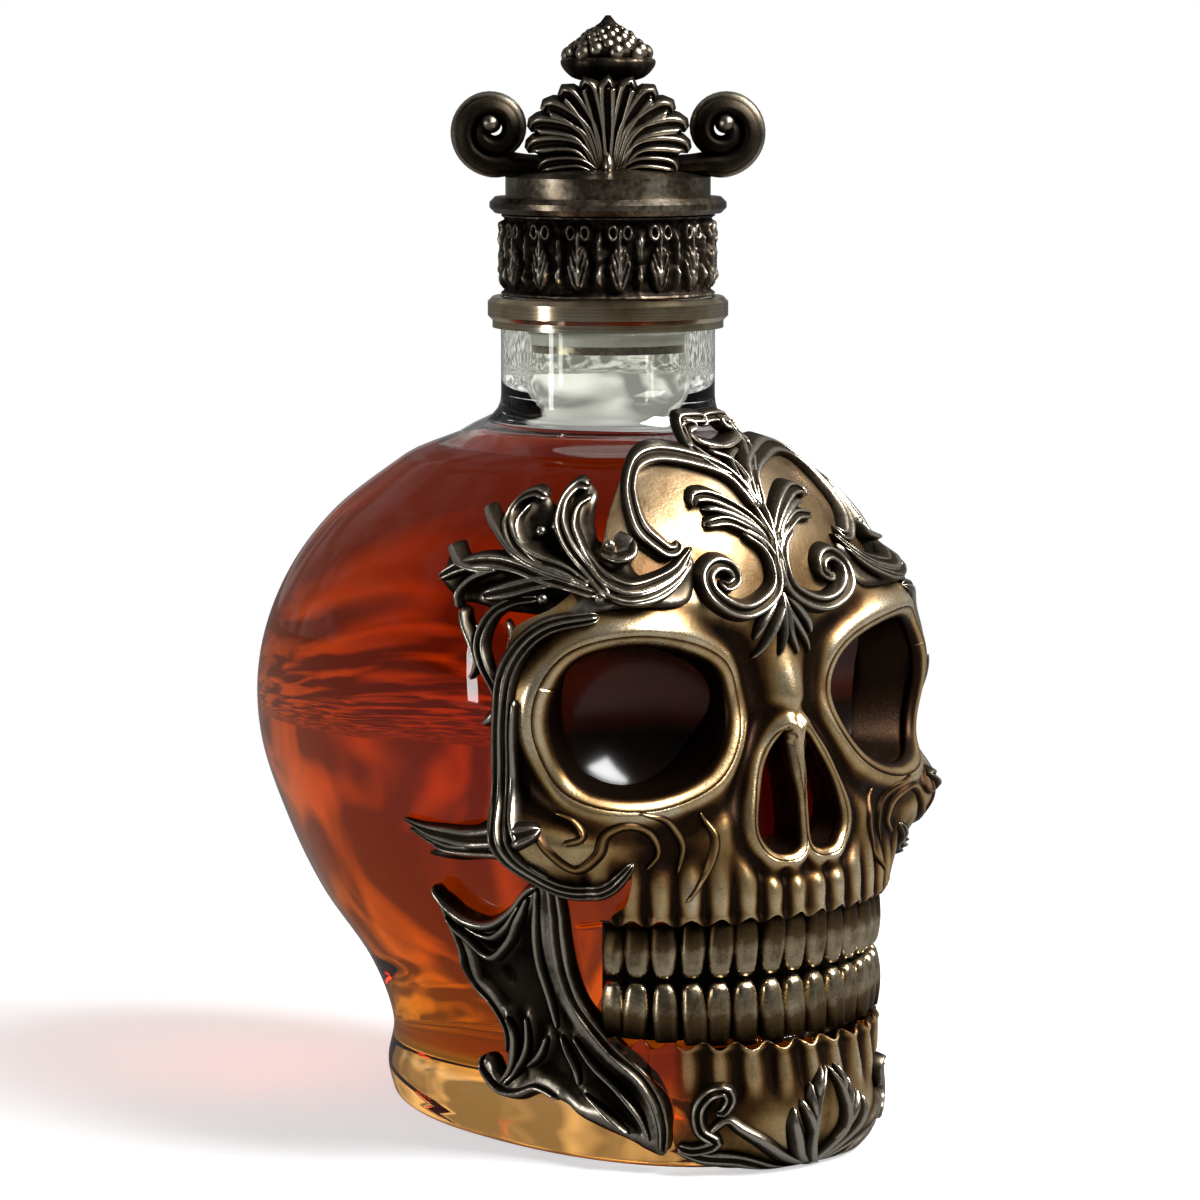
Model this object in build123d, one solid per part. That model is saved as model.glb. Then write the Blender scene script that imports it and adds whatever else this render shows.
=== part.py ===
"""A skull-shaped glass liquor decanter with a cast metal face and a crowned stopper.

Millimetres, +Z up. The origin is on the neck's axis, in the plane of the foot.
The skull looks towards -Y, so its own right side is at -X.
"""
from build123d import *
import math
import os

os.makedirs("parts", exist_ok=True)

# Driving dimensions of the glass
glass_height = 176.5        # foot to the lip of the neck
glass_half_width = 59.5     # at the temples
glass_front_reach = 64.5    # neck axis to the jaw
glass_back_reach = 96.0     # neck axis to the back of the head
widest_line_shift = 12.0    # the widest line lies this far behind the neck axis
neck_radius = 22.8
neck_bore_radius = 17.4
glass_wall = 4.0
throat_taper = 1.6          # the chamber narrows past the bore by this much, so that they meet
foot_thickness = 9.0        # the heavy glass under the liquor

# Driving dimensions of the face
plate_thickness = 3.0
face_rim_setback = 22.0     # the plate's side rims end this far in front of the neck's axis
face_relief = 8.5           # the cheekbone stands this far off the plate
scroll_rise = 3.0           # cast scrolls stand this far off the plate
eye_height_share = 0.5354   # of the glass height
eye_offset_share = 0.5546   # face centre to the middle of an eye, of the glass half width
bowl_radius = 26.0          # the round glass dish in each eye
bowl_depth = 17.0
bowl_thickness = 2.0
chin_clearance = 0.4        # the metal chin stays this far off the table

# Driving dimensions of the teeth
teeth_per_side = 8
arch_width_share = 0.6218   # half the dental arch, of the glass half width
arch_depth_share = 0.4031   # of the glass's front reach
arch_centre_share = 0.5891  # neck axis to the arch's centre, of the glass's front reach
upper_gum_share = 0.2946    # heights, of the glass height
bite_share = 0.2323
lower_gum_share = 0.1558
bite_gap = 1.4              # between the tips of the two rows
tooth_depth = 3.5
gum_depth = 1.5
tooth_gap = 0.45
tip_share = 0.82            # a tooth's tip is narrower than its root
tooth_bow = 1.6             # how far a tooth's front is bowed
tooth_front = 0.1           # from the arch to the front of a tooth
tooth_seating = 0.4         # from the back of a tooth to the gum

# Driving dimensions of the stopper and the collar under it
collar_outer_radius = 25.6
collar_height = 6.5
collar_bead_radius = 2.0
running_clearance = 0.05    # between pieces that turn or slide on each other
seat_gap = 0.1              # between the stopper and what it rests on
plug_radius = 15.0
plug_length = 11.5          # how far the plug reaches into the neck
plug_lip_radius = 16.2
plug_lip_height = 1.6
seal_rib_count = 2
seal_wall = 1.3
seal_rib_height = 1.4
flange_radius = 19.0
flange_height = 3.2
post_radius = 8.0           # the plug's post inside the band
stud_radius = 3.0
stud_sink = 6.0             # how deep the stud sits in the plug and in the drum
band_radius = 22.6
band_relief = 1.1
band_height = 17.5
band_leaf_count = 16
bead_radius = 25.2
bead_height = 3.4
drum_radius = 21.8
drum_height = 4.2
dome_height = 2.6
fan_height = 20.0
fan_lobe_count = 9
fan_lobe_width = 6.4
fan_thickness = 5.0
fan_setback = 6.0           # stopper axis to the back of each fan
volute_reach = 34.5
volute_radius = 10.6
volute_depth = 15.0
volute_strap = 4.4
cup_radius = 10.4
cup_height = 5.0
bud_height = 8.8
bud_tier_count = 3
bud_scale_count = 8         # scales in the lowest tier
bud_scale_step = 2          # each tier has this many fewer
bud_scale_lean = 50.0       # degrees that each scale leans out
cup_notch_count = 8
volute_turns = 1.3
volute_steps = 24
crown_turn = -40.0          # degrees that the crown is turned from the face
cut_overrun = 60.0          # how far cutting solids reach past what they cut

# Sizes of the face that follow the glass
eye_height = eye_height_share * glass_height
eye_offset = eye_offset_share * glass_half_width
arch_half_width = arch_width_share * glass_half_width
arch_depth = arch_depth_share * glass_front_reach
arch_centre_y = -arch_centre_share * glass_front_reach
upper_gum_height = upper_gum_share * glass_height
bite_top = bite_share * glass_height
bite_bottom = bite_top - bite_gap
lower_gum_height = lower_gum_share * glass_height

# One row for each level of the glass: shares of its height, half width, front reach, widest-line
# shift and back reach, and the squareness of its front corners, where 2 is an ellipse.
section_shares = [
    (0.000, 0.640, 0.930, 0.00, 0.594, 2.3),
    (0.040, 0.664, 0.977, 0.00, 0.615, 2.3),
    (0.096, 0.647, 1.000, 0.00, 0.600, 2.3),
    (0.170, 0.680, 0.992, 0.17, 0.688, 2.3),
    (0.250, 0.773, 0.946, 0.42, 0.854, 2.3),
    (0.340, 0.874, 0.907, 0.67, 0.948, 2.4),
    (0.442, 0.966, 0.868, 0.92, 1.000, 2.7),
    (0.544, 1.000, 0.814, 1.00, 0.970, 3.0),
    (0.646, 0.966, 0.775, 1.00, 0.854, 2.9),
    (0.731, 0.840, 0.698, 0.83, 0.708, 2.6),
    (0.800, 0.664, 0.574, 0.50, 0.510, 2.2),
    (0.856, 0.471, 0.419, 0.17, 0.333, 2.0),
    (0.885, 0.408, 0.374, 0.00, 0.252, 2.0),
]
neck_start_share = 0.918
blank_top_share = 0.890      # the solids that the metal is cut from reach this high
mouth_draw_share = 0.8      # the chamber's front is drawn in behind the mouth

# Swellings of the face, as shares: place across and up the face, spread across and up, and rise.
# Places and spreads are shares of the half width and the glass height, rises of face_relief.
swelling_shares = [
    (0.57, 0.652, 0.34, 0.031, 0.45),   # brow ridge
    (0.92, 0.572, 0.15, 0.074, 0.53),   # outer rim of the eye
    (0.81, 0.390, 0.25, 0.048, 1.05),   # cheekbone
    (0.00, 0.567, 0.13, 0.068, 0.30),   # bridge of the nose
    (0.00, 0.442, 0.20, 0.068, 0.24),   # nose opening's rim
    (0.00, 0.340, 0.44, 0.051, 0.24),   # upper jaw
    (0.00, 0.068, 0.37, 0.068, 0.55),   # chin
    (0.00, 0.725, 0.50, 0.102, 0.30),   # forehead
]


def glass_rows():
    """The glass sections in real sizes: height, half width, front, widest line, back, squareness."""
    rows = []
    for height, width, front, widest, back, squareness in section_shares:
        rows.append((height * glass_height, width * glass_half_width, front * glass_front_reach,
                     widest * widest_line_shift, back * glass_back_reach, squareness))
    root = neck_radius - throat_taper / 2
    rows.append((neck_start_share * glass_height, root, root, 0, root, 2.0))
    return rows


rows = glass_rows()


def row_at(height):
    """The glass section at any height, on a smooth curve through the rows."""
    index = 0
    while index < len(rows) - 2 and height > rows[index + 1][0]:
        index += 1
    low, high = rows[index], rows[index + 1]
    before, after = rows[max(index - 1, 0)], rows[min(index + 2, len(rows) - 1)]
    step = high[0] - low[0]
    t = (height - low[0]) / step
    values = []
    for k in range(1, 6):
        slope_low = (high[k] - before[k]) / (high[0] - before[0]) * step
        slope_high = (after[k] - low[k]) / (after[0] - low[0]) * step
        values.append((2 * t**3 - 3 * t**2 + 1) * low[k] + (t**3 - 2 * t**2 + t) * slope_low
                      + (3 * t**2 - 2 * t**3) * high[k] + (t**3 - t**2) * slope_high)
    return values


def skin_point(angle, row, offset=0.0):
    """A point of the glass's outline, angle 0 at the front, moved outwards by offset."""
    width, front, widest, back, squareness = row
    across, ahead = math.sin(angle), math.cos(angle)
    reach, power = (widest + front, squareness) if ahead > 0 else (back - widest, 2.0)
    radius = ((abs(across) / width)**power + (abs(ahead) / reach)**power)**(-1 / power)
    x, y = radius * across, radius * ahead
    slope_x = math.copysign(abs(x)**(power - 1) / width**power, x)
    slope_y = math.copysign(abs(y)**(power - 1) / reach**power, y)
    length = math.hypot(slope_x, slope_y)
    return x + slope_x / length * offset, widest - y - slope_y / length * offset


def relief(x, height):
    """How far the face swells off its plain plate at a place across and up it."""
    total = 0.0
    for across, up, spread_x, spread_z, rise in swelling_shares:
        places = (across, -across) if across else (0.0,)
        for place in places:
            dx = (x / glass_half_width - place) / spread_x
            dz = (height / glass_height - up) / spread_z
            total += rise * face_relief * math.exp(-dx**2 - dz**2)
    return total


def closed_section(points):
    """A closed section. All sections share their parameters, so a loft through them stays light."""
    count = len(points)
    steps = [k / count for k in range(count + 1)]
    edge = Edge.make_spline([Vector(*point) for point in points], periodic=True, parameters=steps)
    return Face(Wire([edge]))


def glass_solid():
    """The outside of the bottle, from the foot to the neck's lip."""
    count = 28
    sections = []
    for height, *row in rows:
        points = [(*skin_point(2 * math.pi * k / count, row), height) for k in range(count)]
        sections.append(closed_section(points))
    neck_start = section_shares[-2][0] * glass_height
    neck = Pos(0, 0, neck_start) * Cylinder(
        neck_radius, glass_height - neck_start, align=(Align.CENTER, Align.CENTER, Align.MIN))
    return loft(sections) + neck


def chamber_solid():
    """The hollow for the liquor, below the neck's bore."""
    count = 20
    inner_rows = rows[1:-1]
    sections = []
    for height, *row in inner_rows:
        floor = foot_thickness + (height - inner_rows[0][0]) * (1 - foot_thickness / glass_height)
        if height < upper_gum_height + 2 * glass_wall + bowl_thickness:
            row[1] *= mouth_draw_share
            row[4] = 2.0
        points = [(*skin_point(2 * math.pi * n / count, row, -glass_wall), floor)
                  for n in range(count)]
        sections.append(closed_section(points))
    throat = neck_bore_radius - throat_taper
    neck = [throat, throat, 0, throat, 2.0]
    top = neck_start_share * glass_height
    sections.append(closed_section([(*skin_point(2 * math.pi * n / count, neck), top)
                                    for n in range(count)]))
    return loft(sections)


def face_blank(extra):
    """A solid whose front is the face's surface, moved out by extra, and whose back is in the glass."""
    count, levels = 36, 23
    front_half, blend_width = math.radians(100), math.radians(25)
    low, high = chin_clearance, blank_top_share * glass_height
    sections = []
    for level in range(levels):
        height = low + (high - low) * level / (levels - 1)
        row = row_at(height)
        points = []
        for k in range(count):
            angle = 2 * math.pi * k / count
            turn = min(angle, 2 * math.pi - angle)
            t = min(max((front_half + blend_width - turn) / blend_width, 0.0), 1.0)
            share = t * t * (3 - 2 * t)
            x = skin_point(angle, row)[0]
            raised = plate_thickness + relief(x, height) + extra
            offset = share * raised - (1 - share) * (glass_wall + extra)
            points.append((*skin_point(angle, row, offset), height))
        sections.append(closed_section(points))
    return loft(sections)


def front_prism(outline, back_y=-glass_wall):
    """An outline in X and Z, cut through the front of the face."""
    return extrude(Plane.XZ.offset(-back_y) * outline, amount=glass_front_reach + cut_overrun)


def side_prism(outline):
    """An outline in Y and Z, cut through the -X side of the face."""
    inner = arch_half_width / 2
    return extrude(Plane.YZ.offset(-inner) * outline, amount=-(glass_half_width + cut_overrun))


def closed_curve(points, across, up):
    """A smooth closed outline through shares of two sizes."""
    return make_face(Spline([(x * across, z * up) for x, z in points], periodic=True))


def closed_polygon(points, across, up):
    return make_face(Polyline([(x * across, z * up) for x, z in points], close=True))


def largest(shape):
    """The biggest solid of a cut, as a plain solid."""
    return max(shape.solids(), key=lambda solid: solid.volume)


def both_sides(name, skin, prism, cutters, carriers):
    """Cut one ornament from a skin on the skull's right side, and its twin on the left."""
    for side in ("right", "left"):
        shapes = [prism, *cutters]
        if side == "left":
            shapes = [mirror(shape, about=Plane.YZ) for shape in shapes]
        save(name + "_" + side, seat(skin & shapes[0], *shapes[1:], *carriers))


def save(name, shape):
    solids = shape.solids()
    body = solids[0] if len(solids) == 1 else Compound(children=list(solids))
    body.label = name
    export_step(body, "parts/" + name + ".step")


# The eye outline and the plate outlines, as shares of the half width and the glass height
eye_outline_shares = [
    (-0.865, 0.572), (-0.858, 0.515), (-0.780, 0.456), (-0.590, 0.439), (-0.345, 0.468),
    (-0.225, 0.528), (-0.290, 0.594), (-0.600, 0.630), (-0.780, 0.613),
]
nose_outline_shares = [
    (-0.040, 0.512), (-0.155, 0.455), (-0.215, 0.400), (-0.155, 0.368), (-0.045, 0.374),
    (-0.022, 0.440),
]
face_edge_shares = [
    (0.000, 0.830), (0.300, 0.815), (0.600, 0.760), (0.860, 0.680), (0.970, 0.580),
    (0.985, 0.480), (0.985, 0.400), (0.860, 0.345), (0.680, 0.340),
]
jaw_edge_shares = [
    (0.560, 0.140), (0.520, 0.110), (0.430, 0.045), (0.330, 0.000),
]


def mirrored_polygon(points, across, up):
    left = [(-x, z) for x, z in reversed(points) if x > 0]
    return closed_polygon(points + left, across, up)


def make_glass(outside):
    """The bottle: a blown skull with dished eyes, a stepped mouth, a thick foot and a round neck."""
    bore_start = neck_start_share * glass_height - glass_wall
    bore = Pos(0, 0, bore_start) * Cylinder(
        neck_bore_radius, glass_height, align=(Align.CENTER, Align.CENTER, Align.MIN))
    chamber = chamber_solid()
    body = outside
    for side in (-1, 1):
        centre = eye_centre(side)
        body = body - centre * Sphere(bowl_radius)
        chamber = chamber - centre * Sphere(bowl_radius + glass_wall)
    return body - chamber - bore - mouth_zone()


def eye_centre(side):
    """Centre of the eye dish's sphere, in front of the glass along its outward slope."""
    row = row_at(eye_height)
    width, front, widest, back, squareness = row
    low, high = 0.0, math.pi / 2
    for _ in range(40):
        middle = (low + high) / 2
        low, high = (middle, high) if skin_point(middle, row)[0] < eye_offset else (low, middle)
    x, y = skin_point(low, row, bowl_radius - bowl_depth)
    return Pos(side * x, y, eye_height)


def arch_solid(inset):
    """The upright elliptical column that the teeth stand on, inset from their fronts."""
    face = Ellipse(arch_half_width - inset, arch_depth - inset)
    column = extrude(face, amount=upper_gum_height - lower_gum_height)
    return Pos(0, arch_centre_y, lower_gum_height) * column


def mouth_block():
    """The space in front of the back teeth, from one gum line to the other."""
    return Pos(0, arch_centre_y, lower_gum_height) * Box(
        2 * glass_half_width, cut_overrun, upper_gum_height - lower_gum_height,
        align=(Align.CENTER, Align.MAX, Align.MIN))


def mouth_zone():
    """What is cut away from the glass around the dental arch."""
    return mouth_block() - arch_solid(tooth_depth + gum_depth)


def make_mouth_backing():
    """The dark gum that the teeth are set in, wrapped round the stepped mouth of the glass."""
    zone = arch_solid(tooth_depth) - arch_solid(tooth_depth + gum_depth)
    return largest(zone & mouth_block())


def arch_places():
    """Where each tooth stands: its place on the arch, its facing angle and its share from the front."""
    steps = 600
    points = []
    for k in range(steps + 1):
        angle = math.pi / 2 * k / steps
        points.append((arch_half_width * math.sin(angle), arch_centre_y - arch_depth * math.cos(angle)))
    lengths = [0.0]
    for a, b in zip(points, points[1:]):
        lengths.append(lengths[-1] + math.dist(a, b))
    pitch = lengths[-1] / (teeth_per_side + 0.4)
    places = []
    for tooth in range(teeth_per_side):
        target = (tooth + 0.5) * pitch
        index = min(range(len(lengths)), key=lambda k: abs(lengths[k] - target))
        angle = math.pi / 2 * index / steps
        facing = math.degrees(math.atan2(math.sin(angle) / arch_half_width,
                                         math.cos(angle) / arch_depth))
        places.append((*points[index], facing, tooth / (teeth_per_side - 1)))
    return places, pitch


def make_teeth(root_height, tip_height, small_share):
    """One row of separate teeth, each with a bowed front and a narrowed tip."""
    places, pitch = arch_places()
    width = pitch - tooth_gap
    length = abs(root_height - tip_height)
    teeth = []
    for x, y, facing, back_share in places:
        height = length * (1 - small_share * back_share**2)
        top = tooth_profile(width)
        tip = tooth_profile(width * tip_share)
        direction = 1 if tip_height > root_height else -1
        start = tip_height - direction * height
        tooth = loft([top, Pos(0, 0, height) * tip])
        if direction < 0:
            tooth = mirror(tooth, about=Plane.XY)
        for side in (1, -1):
            place = Pos(side * x, y, start) * Rot(0, 0, side * facing)
            teeth.append(place * tooth)
    return Compound(children=teeth)


def tooth_profile(width):
    """A tooth's section: its front is bowed towards -Y in three flats and its back is plain."""
    half, edge, back = width / 2, tooth_front + tooth_bow, tooth_depth - tooth_seating
    return make_face(Polyline([
        (-half, back), (half, back), (half, edge), (half / 2, tooth_front), (-half / 2, tooth_front),
        (-half, edge)], close=True))


def face_point(x_share, z_share):
    return (x_share * glass_half_width, z_share * glass_height)


def strip(places, width):
    """A flat strip of one width along a line of places."""
    left, right = [], []
    for index, place in enumerate(places):
        before, after = places[max(index - 1, 0)], places[min(index + 1, len(places) - 1)]
        along = (after - before).normalized()
        aside = Vector(-along.Y, along.X) * (width / 2)
        left.append(place + aside)
        right.append(place - aside)
    return make_face(Polyline(left + right[::-1], close=True))


def band_outline(points, width):
    """A strip along a smooth line through shares of the half width and the height."""
    line = Spline([face_point(*point) for point in points])
    steps = 2 * len(points)
    return strip([line @ (k / steps) for k in range(steps + 1)], width)


def strand_outlines(strands, width):
    """Strips joined into one outline, each through shares of the half width and the height."""
    joined = None
    for strand in strands:
        piece = strip([Vector(*face_point(*point)) for point in strand], width)
        joined = piece if joined is None else joined + piece
    return joined


def seat(piece, *carriers):
    """Cut a cast piece to the surfaces that carry it."""
    for carrier in carriers:
        piece = piece - carrier
    return largest(piece)


def side_outline(points):
    """An outline on the side of the head, in shares of the front reach and the glass height."""
    return closed_polygon(points, -glass_front_reach, glass_height)


# Ornament outlines on the face, at -X: shares of the half width and the glass height
temple_strand_shares = [
    [(-0.300, 0.722), (-0.405, 0.700), (-0.515, 0.686), (-0.600, 0.682), (-0.648, 0.694),
     (-0.650, 0.732)],
    [(-0.664, 0.674), (-0.662, 0.700), (-0.666, 0.732), (-0.640, 0.757), (-0.575, 0.780),
     (-0.495, 0.791)],
    [(-0.660, 0.682), (-0.722, 0.703), (-0.772, 0.718), (-0.770, 0.742), (-0.723, 0.764),
     (-0.640, 0.782)],
    [(-0.750, 0.770), (-0.793, 0.740), (-0.780, 0.712), (-0.740, 0.698)],
    [(-0.960, 0.686), (-0.911, 0.701), (-0.850, 0.708), (-0.800, 0.702), (-0.740, 0.684),
     (-0.660, 0.676)],
    [(-0.970, 0.662), (-0.900, 0.672), (-0.830, 0.684), (-0.740, 0.684)],
    [(-0.700, 0.680), (-0.600, 0.668), (-0.500, 0.674), (-0.400, 0.690), (-0.330, 0.708)],
]
brow_scroll_shares = [
    (-0.075, 0.812), (-0.300, 0.814), (-0.450, 0.786), (-0.540, 0.744), (-0.500, 0.712),
    (-0.390, 0.706), (-0.340, 0.728),
]
palm_volute_shares = [
    (-0.035, 0.700), (-0.090, 0.664), (-0.200, 0.644), (-0.330, 0.656), (-0.345, 0.682),
    (-0.270, 0.697), (-0.215, 0.680),
]
palm_leaf_shares = [
    (0.000, 0.585), (0.035, 0.640), (0.050, 0.700), (0.230, 0.728), (0.275, 0.752),
    (0.190, 0.770), (0.080, 0.760), (0.000, 0.800),
]
chin_leaf_shares = [
    (0.000, 0.020), (0.080, 0.065), (0.115, 0.104), (0.050, 0.100), (0.000, 0.128),
]
chin_scroll_shares = [
    (-0.040, 0.022), (-0.200, 0.030), (-0.330, 0.050), (-0.420, 0.072), (-0.400, 0.095),
    (-0.340, 0.090), (-0.350, 0.070),
]
# Outlines on the side of the head: shares of the front reach and the glass height
jaw_strap_shares = [
    (0.140, 0.334), (0.265, 0.307), (0.490, 0.327), (0.600, 0.336), (0.527, 0.272),
    (0.505, 0.200), (0.563, 0.153), (0.695, 0.124), (0.815, 0.090), (0.850, 0.052),
    (0.780, 0.020), (0.690, 0.040), (0.560, 0.068), (0.330, 0.069), (0.135, 0.086),
    (0.155, 0.116), (0.257, 0.130), (0.300, 0.188), (0.170, 0.218), (0.160, 0.270),
]
cheek_spur_shares = [
    (0.120, 0.398), (0.340, 0.376), (0.560, 0.350), (0.600, 0.400), (0.560, 0.425), (0.340, 0.405),
]
temple_curl_shares = [
    (0.500, 0.646), (0.440, 0.600), (0.430, 0.560), (0.490, 0.510), (0.480, 0.560), (0.500, 0.600),
    (0.560, 0.640),
]
scroll_width = 3.6
chin_scroll_width = 3.0
knot_ring_radius = 4.2
knot_wire_radius = 1.5
knot_height_share = 0.848
knot_sides = 12
temple_strand_width = 3.5


def knot_outline():
    """Three rings in a row over the top of the forehead."""
    reach = knot_ring_radius + knot_wire_radius
    hole = knot_ring_radius - knot_wire_radius
    top = knot_height_share * glass_height
    places = [(0, top), (-reach, top - knot_wire_radius), (reach, top - knot_wire_radius)]
    outline = None
    for place in places:
        disc = Pos(*place) * RegularPolygon(reach, knot_sides)
        outline = disc if outline is None else outline + disc
    for place in places:
        outline = outline - Pos(*place) * RegularPolygon(hole, knot_sides)
    return outline


def make_eye_bowl(side, glass_skin):
    """A round dark glass dish, its rim flush with the bottle under the metal."""
    shell = Sphere(bowl_radius) - Sphere(bowl_radius - bowl_thickness)
    return largest((eye_centre(side) * shell) & glass_skin)


def make_collar():
    """The gilt ring crimped under the lip of the neck: a thin bead below and a fat one above."""
    inner = neck_radius + running_clearance
    low, high = glass_height - collar_height, glass_height
    waist = collar_outer_radius - collar_bead_radius / 2
    slope = collar_bead_radius / 2
    shoulder = high - 2 * collar_bead_radius
    return turned_polygon([
        (inner, low), (waist, low), (waist, shoulder - slope), (collar_outer_radius, shoulder),
        (collar_outer_radius, high - slope), (waist, high), (inner, high),
    ])


def turned(outline):
    """A solid of revolution round the neck's axis, from an outline in radius and height."""
    return revolve(Plane.XZ * make_face(outline), Axis.Z)


def turned_polygon(points):
    return revolve(Plane.XZ * make_face(Polyline(points, close=True)), Axis.Z)


# Heights of the stopper's pieces, from the lip upwards
plug_bottom = glass_height - plug_length
flange_bottom = glass_height + seat_gap
band_bottom = flange_bottom + seat_gap
band_top = band_bottom + band_height
drum_bottom = band_top + bead_height
drum_top = drum_bottom + drum_height
fan_base = drum_top
cup_bottom = drum_top + fan_height + seat_gap
cup_top = cup_bottom + cup_height


def make_plug():
    """The turned plug: an end lip, a shaft for the seals, a flange and the post inside the band."""
    plug = turned_polygon([
        (0, plug_bottom), (plug_lip_radius, plug_bottom),
        (plug_lip_radius, plug_bottom + plug_lip_height),
        (plug_radius, plug_bottom + plug_lip_height), (plug_radius, flange_bottom),
        (flange_radius, flange_bottom), (flange_radius, flange_bottom + flange_height),
        (post_radius, flange_bottom + flange_height), (post_radius, band_top), (0, band_top),
    ])
    hole = Pos(0, 0, band_top) * Cylinder(
        stud_radius, stud_sink, align=(Align.CENTER, Align.CENTER, Align.MAX))
    return plug - hole


def make_seals():
    """The ribbed sealing sleeve: the plug turns in it and its ribs slide in the neck."""
    inner = plug_radius + running_clearance
    wall = inner + seal_wall
    rib = neck_bore_radius - running_clearance
    low = plug_bottom + plug_lip_height + seat_gap
    high = glass_height - seat_gap
    pitch = (high - low) / seal_rib_count
    points = [(inner, low)]
    for k in range(seal_rib_count):
        middle = low + (k + 0.5) * pitch
        foot, top = middle - seal_rib_height / 2, middle + seal_rib_height / 2
        points += [(wall, low if k == 0 else foot - seal_rib_height / 2), (wall, foot),
                   (rib, middle), (wall, top)]
    points += [(wall, high), (inner, high)]
    return turned_polygon(points)


def make_cap_band():
    """The ornamented band: a ring with upright cast leaves all round it."""
    band = turned_polygon([
        (flange_radius, band_bottom), (band_radius, band_bottom),
        (band_radius, band_top), (post_radius, band_top - flange_height),
        (post_radius, band_top - 2 * flange_height),
        (flange_radius, band_top - 2 * flange_height),
    ])
    leaf_half_height = band_height / 2 - band_relief
    leaf_half_width = math.pi * band_radius / band_leaf_count - band_relief
    outline = make_face(Polyline([
        (0, -leaf_half_height), (leaf_half_width * 0.6, -leaf_half_height * 0.55),
        (leaf_half_width, leaf_half_height * 0.2), (0, leaf_half_height),
        (-leaf_half_width, leaf_half_height * 0.2),
        (-leaf_half_width * 0.6, -leaf_half_height * 0.55)], close=True))
    leaf = extrude(Plane.YZ.offset(band_radius - band_relief) * outline, amount=2 * band_relief)
    for k in range(band_leaf_count):
        place = Rot(0, 0, 360 * k / band_leaf_count) * Pos(0, 0, band_bottom + band_height / 2)
        band = band + place * leaf
    return band


def make_bead_ring():
    """The rolled rim above the band."""
    edge = bead_radius - bead_height / 3
    return turned_polygon([
        (stud_radius, band_top), (edge, band_top), (bead_radius, band_top + bead_height / 3),
        (bead_radius, drum_bottom - bead_height / 3), (edge, drum_bottom),
        (stud_radius, drum_bottom),
    ])


def make_drum():
    """The drum that the crown stands on, with a low dome and a blind hole for the stud."""
    outline = [
        Line((0, drum_bottom), (drum_radius, drum_bottom)),
        Line((drum_radius, drum_bottom), (drum_radius, drum_top)),
        ThreePointArc((drum_radius, drum_top), (drum_radius * 0.66, drum_top + dome_height * 0.62),
                      (fan_setback, drum_top + dome_height)),
        Line((fan_setback, drum_top + dome_height), (0, drum_top + dome_height)),
        Line((0, drum_top + dome_height), (0, drum_bottom)),
    ]
    hole = Pos(0, 0, drum_bottom) * Cylinder(
        stud_radius, stud_sink - dome_height, align=(Align.CENTER, Align.CENTER, Align.MIN))
    return turned(outline) - hole


def make_stud():
    """The stud that ties the drum, the rim and the plug together."""
    low = band_top - stud_sink
    high = drum_bottom + stud_sink - dome_height
    return Pos(0, 0, low) * Cylinder(
        stud_radius, high - low, align=(Align.CENTER, Align.CENTER, Align.MIN))


def make_fan(drum):
    """A palmette of tapered lobes, each with a raised rib, standing on the drum."""
    fan = None
    for k in range(fan_lobe_count):
        place = 2 * k / (fan_lobe_count - 1) - 1
        length = fan_height * (1 - 0.24 * abs(place)) - fan_lobe_width / 2
        lean = Rot(0, 0, -place * 78)
        half = fan_lobe_width / 2
        lobe = make_face(Polyline([
            (0, 0), (half * 0.9, length * 0.7), (half * 0.8, length), (0, length + half),
            (-half * 0.8, length), (-half * 0.9, length * 0.7)], close=True))
        rib = make_face(Polyline([
            (0, length * 0.2), (half * 0.45, length * 0.7), (0, length), (-half * 0.45, length * 0.7)],
            close=True))
        leaf = extrude(Plane.XZ.offset(fan_setback) * (lean * lobe), amount=fan_thickness)
        leaf = leaf + extrude(Plane.XZ.offset(fan_setback + fan_thickness) * (lean * rib),
                              amount=band_relief)
        fan = leaf if fan is None else fan + leaf
    return seat(Pos(0, 0, fan_base) * fan, drum)


def make_volute(drum, fans):
    """A rolled scroll on the crown's side: a tapering spiral strap with an arm down to the drum."""
    shrink = math.log(volute_radius / (volute_radius - volute_strap - band_relief)) / (2 * math.pi)
    def spiral(radius):
        line = []
        for k in range(volute_steps + 1):
            angle = 2 * math.pi * volute_turns * k / volute_steps
            reach = radius * math.exp(-shrink * angle)
            line.append((-reach * math.sin(angle), -reach * math.cos(angle)))
        return line

    outer, inner = spiral(volute_radius), spiral(volute_radius - volute_strap)
    strap = make_face(Polyline(outer + inner[::-1], close=True))
    end_x, end_z = outer[-1]
    eye_x, eye_z = (end_x + inner[-1][0]) / 2, (end_z + inner[-1][1]) / 2
    eye = Pos(eye_x, eye_z) * RegularPolygon(volute_strap / 2, 10)
    centre_x = volute_reach - volute_radius
    arm = Pos(centre_x / 2, -volute_radius + volute_strap / 2) * Rectangle(
        centre_x, volute_strap)
    outline = Pos(-centre_x, 0) * (strap + eye + arm)
    scroll = extrude(Plane.XZ.offset(-volute_depth / 2) * outline, amount=volute_depth)
    scroll = Pos(0, 0, drum_top + volute_radius - band_relief) * scroll
    return seat(scroll, drum, *fans)


def make_finial_post(drum):
    """The post between the two palmettes that carries the finial."""
    height = cup_bottom - drum_top
    post = Pos(0, 0, drum_top) * Cylinder(
        fan_setback, height, align=(Align.CENTER, Align.CENTER, Align.MIN))
    return seat(post, drum)


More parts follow.
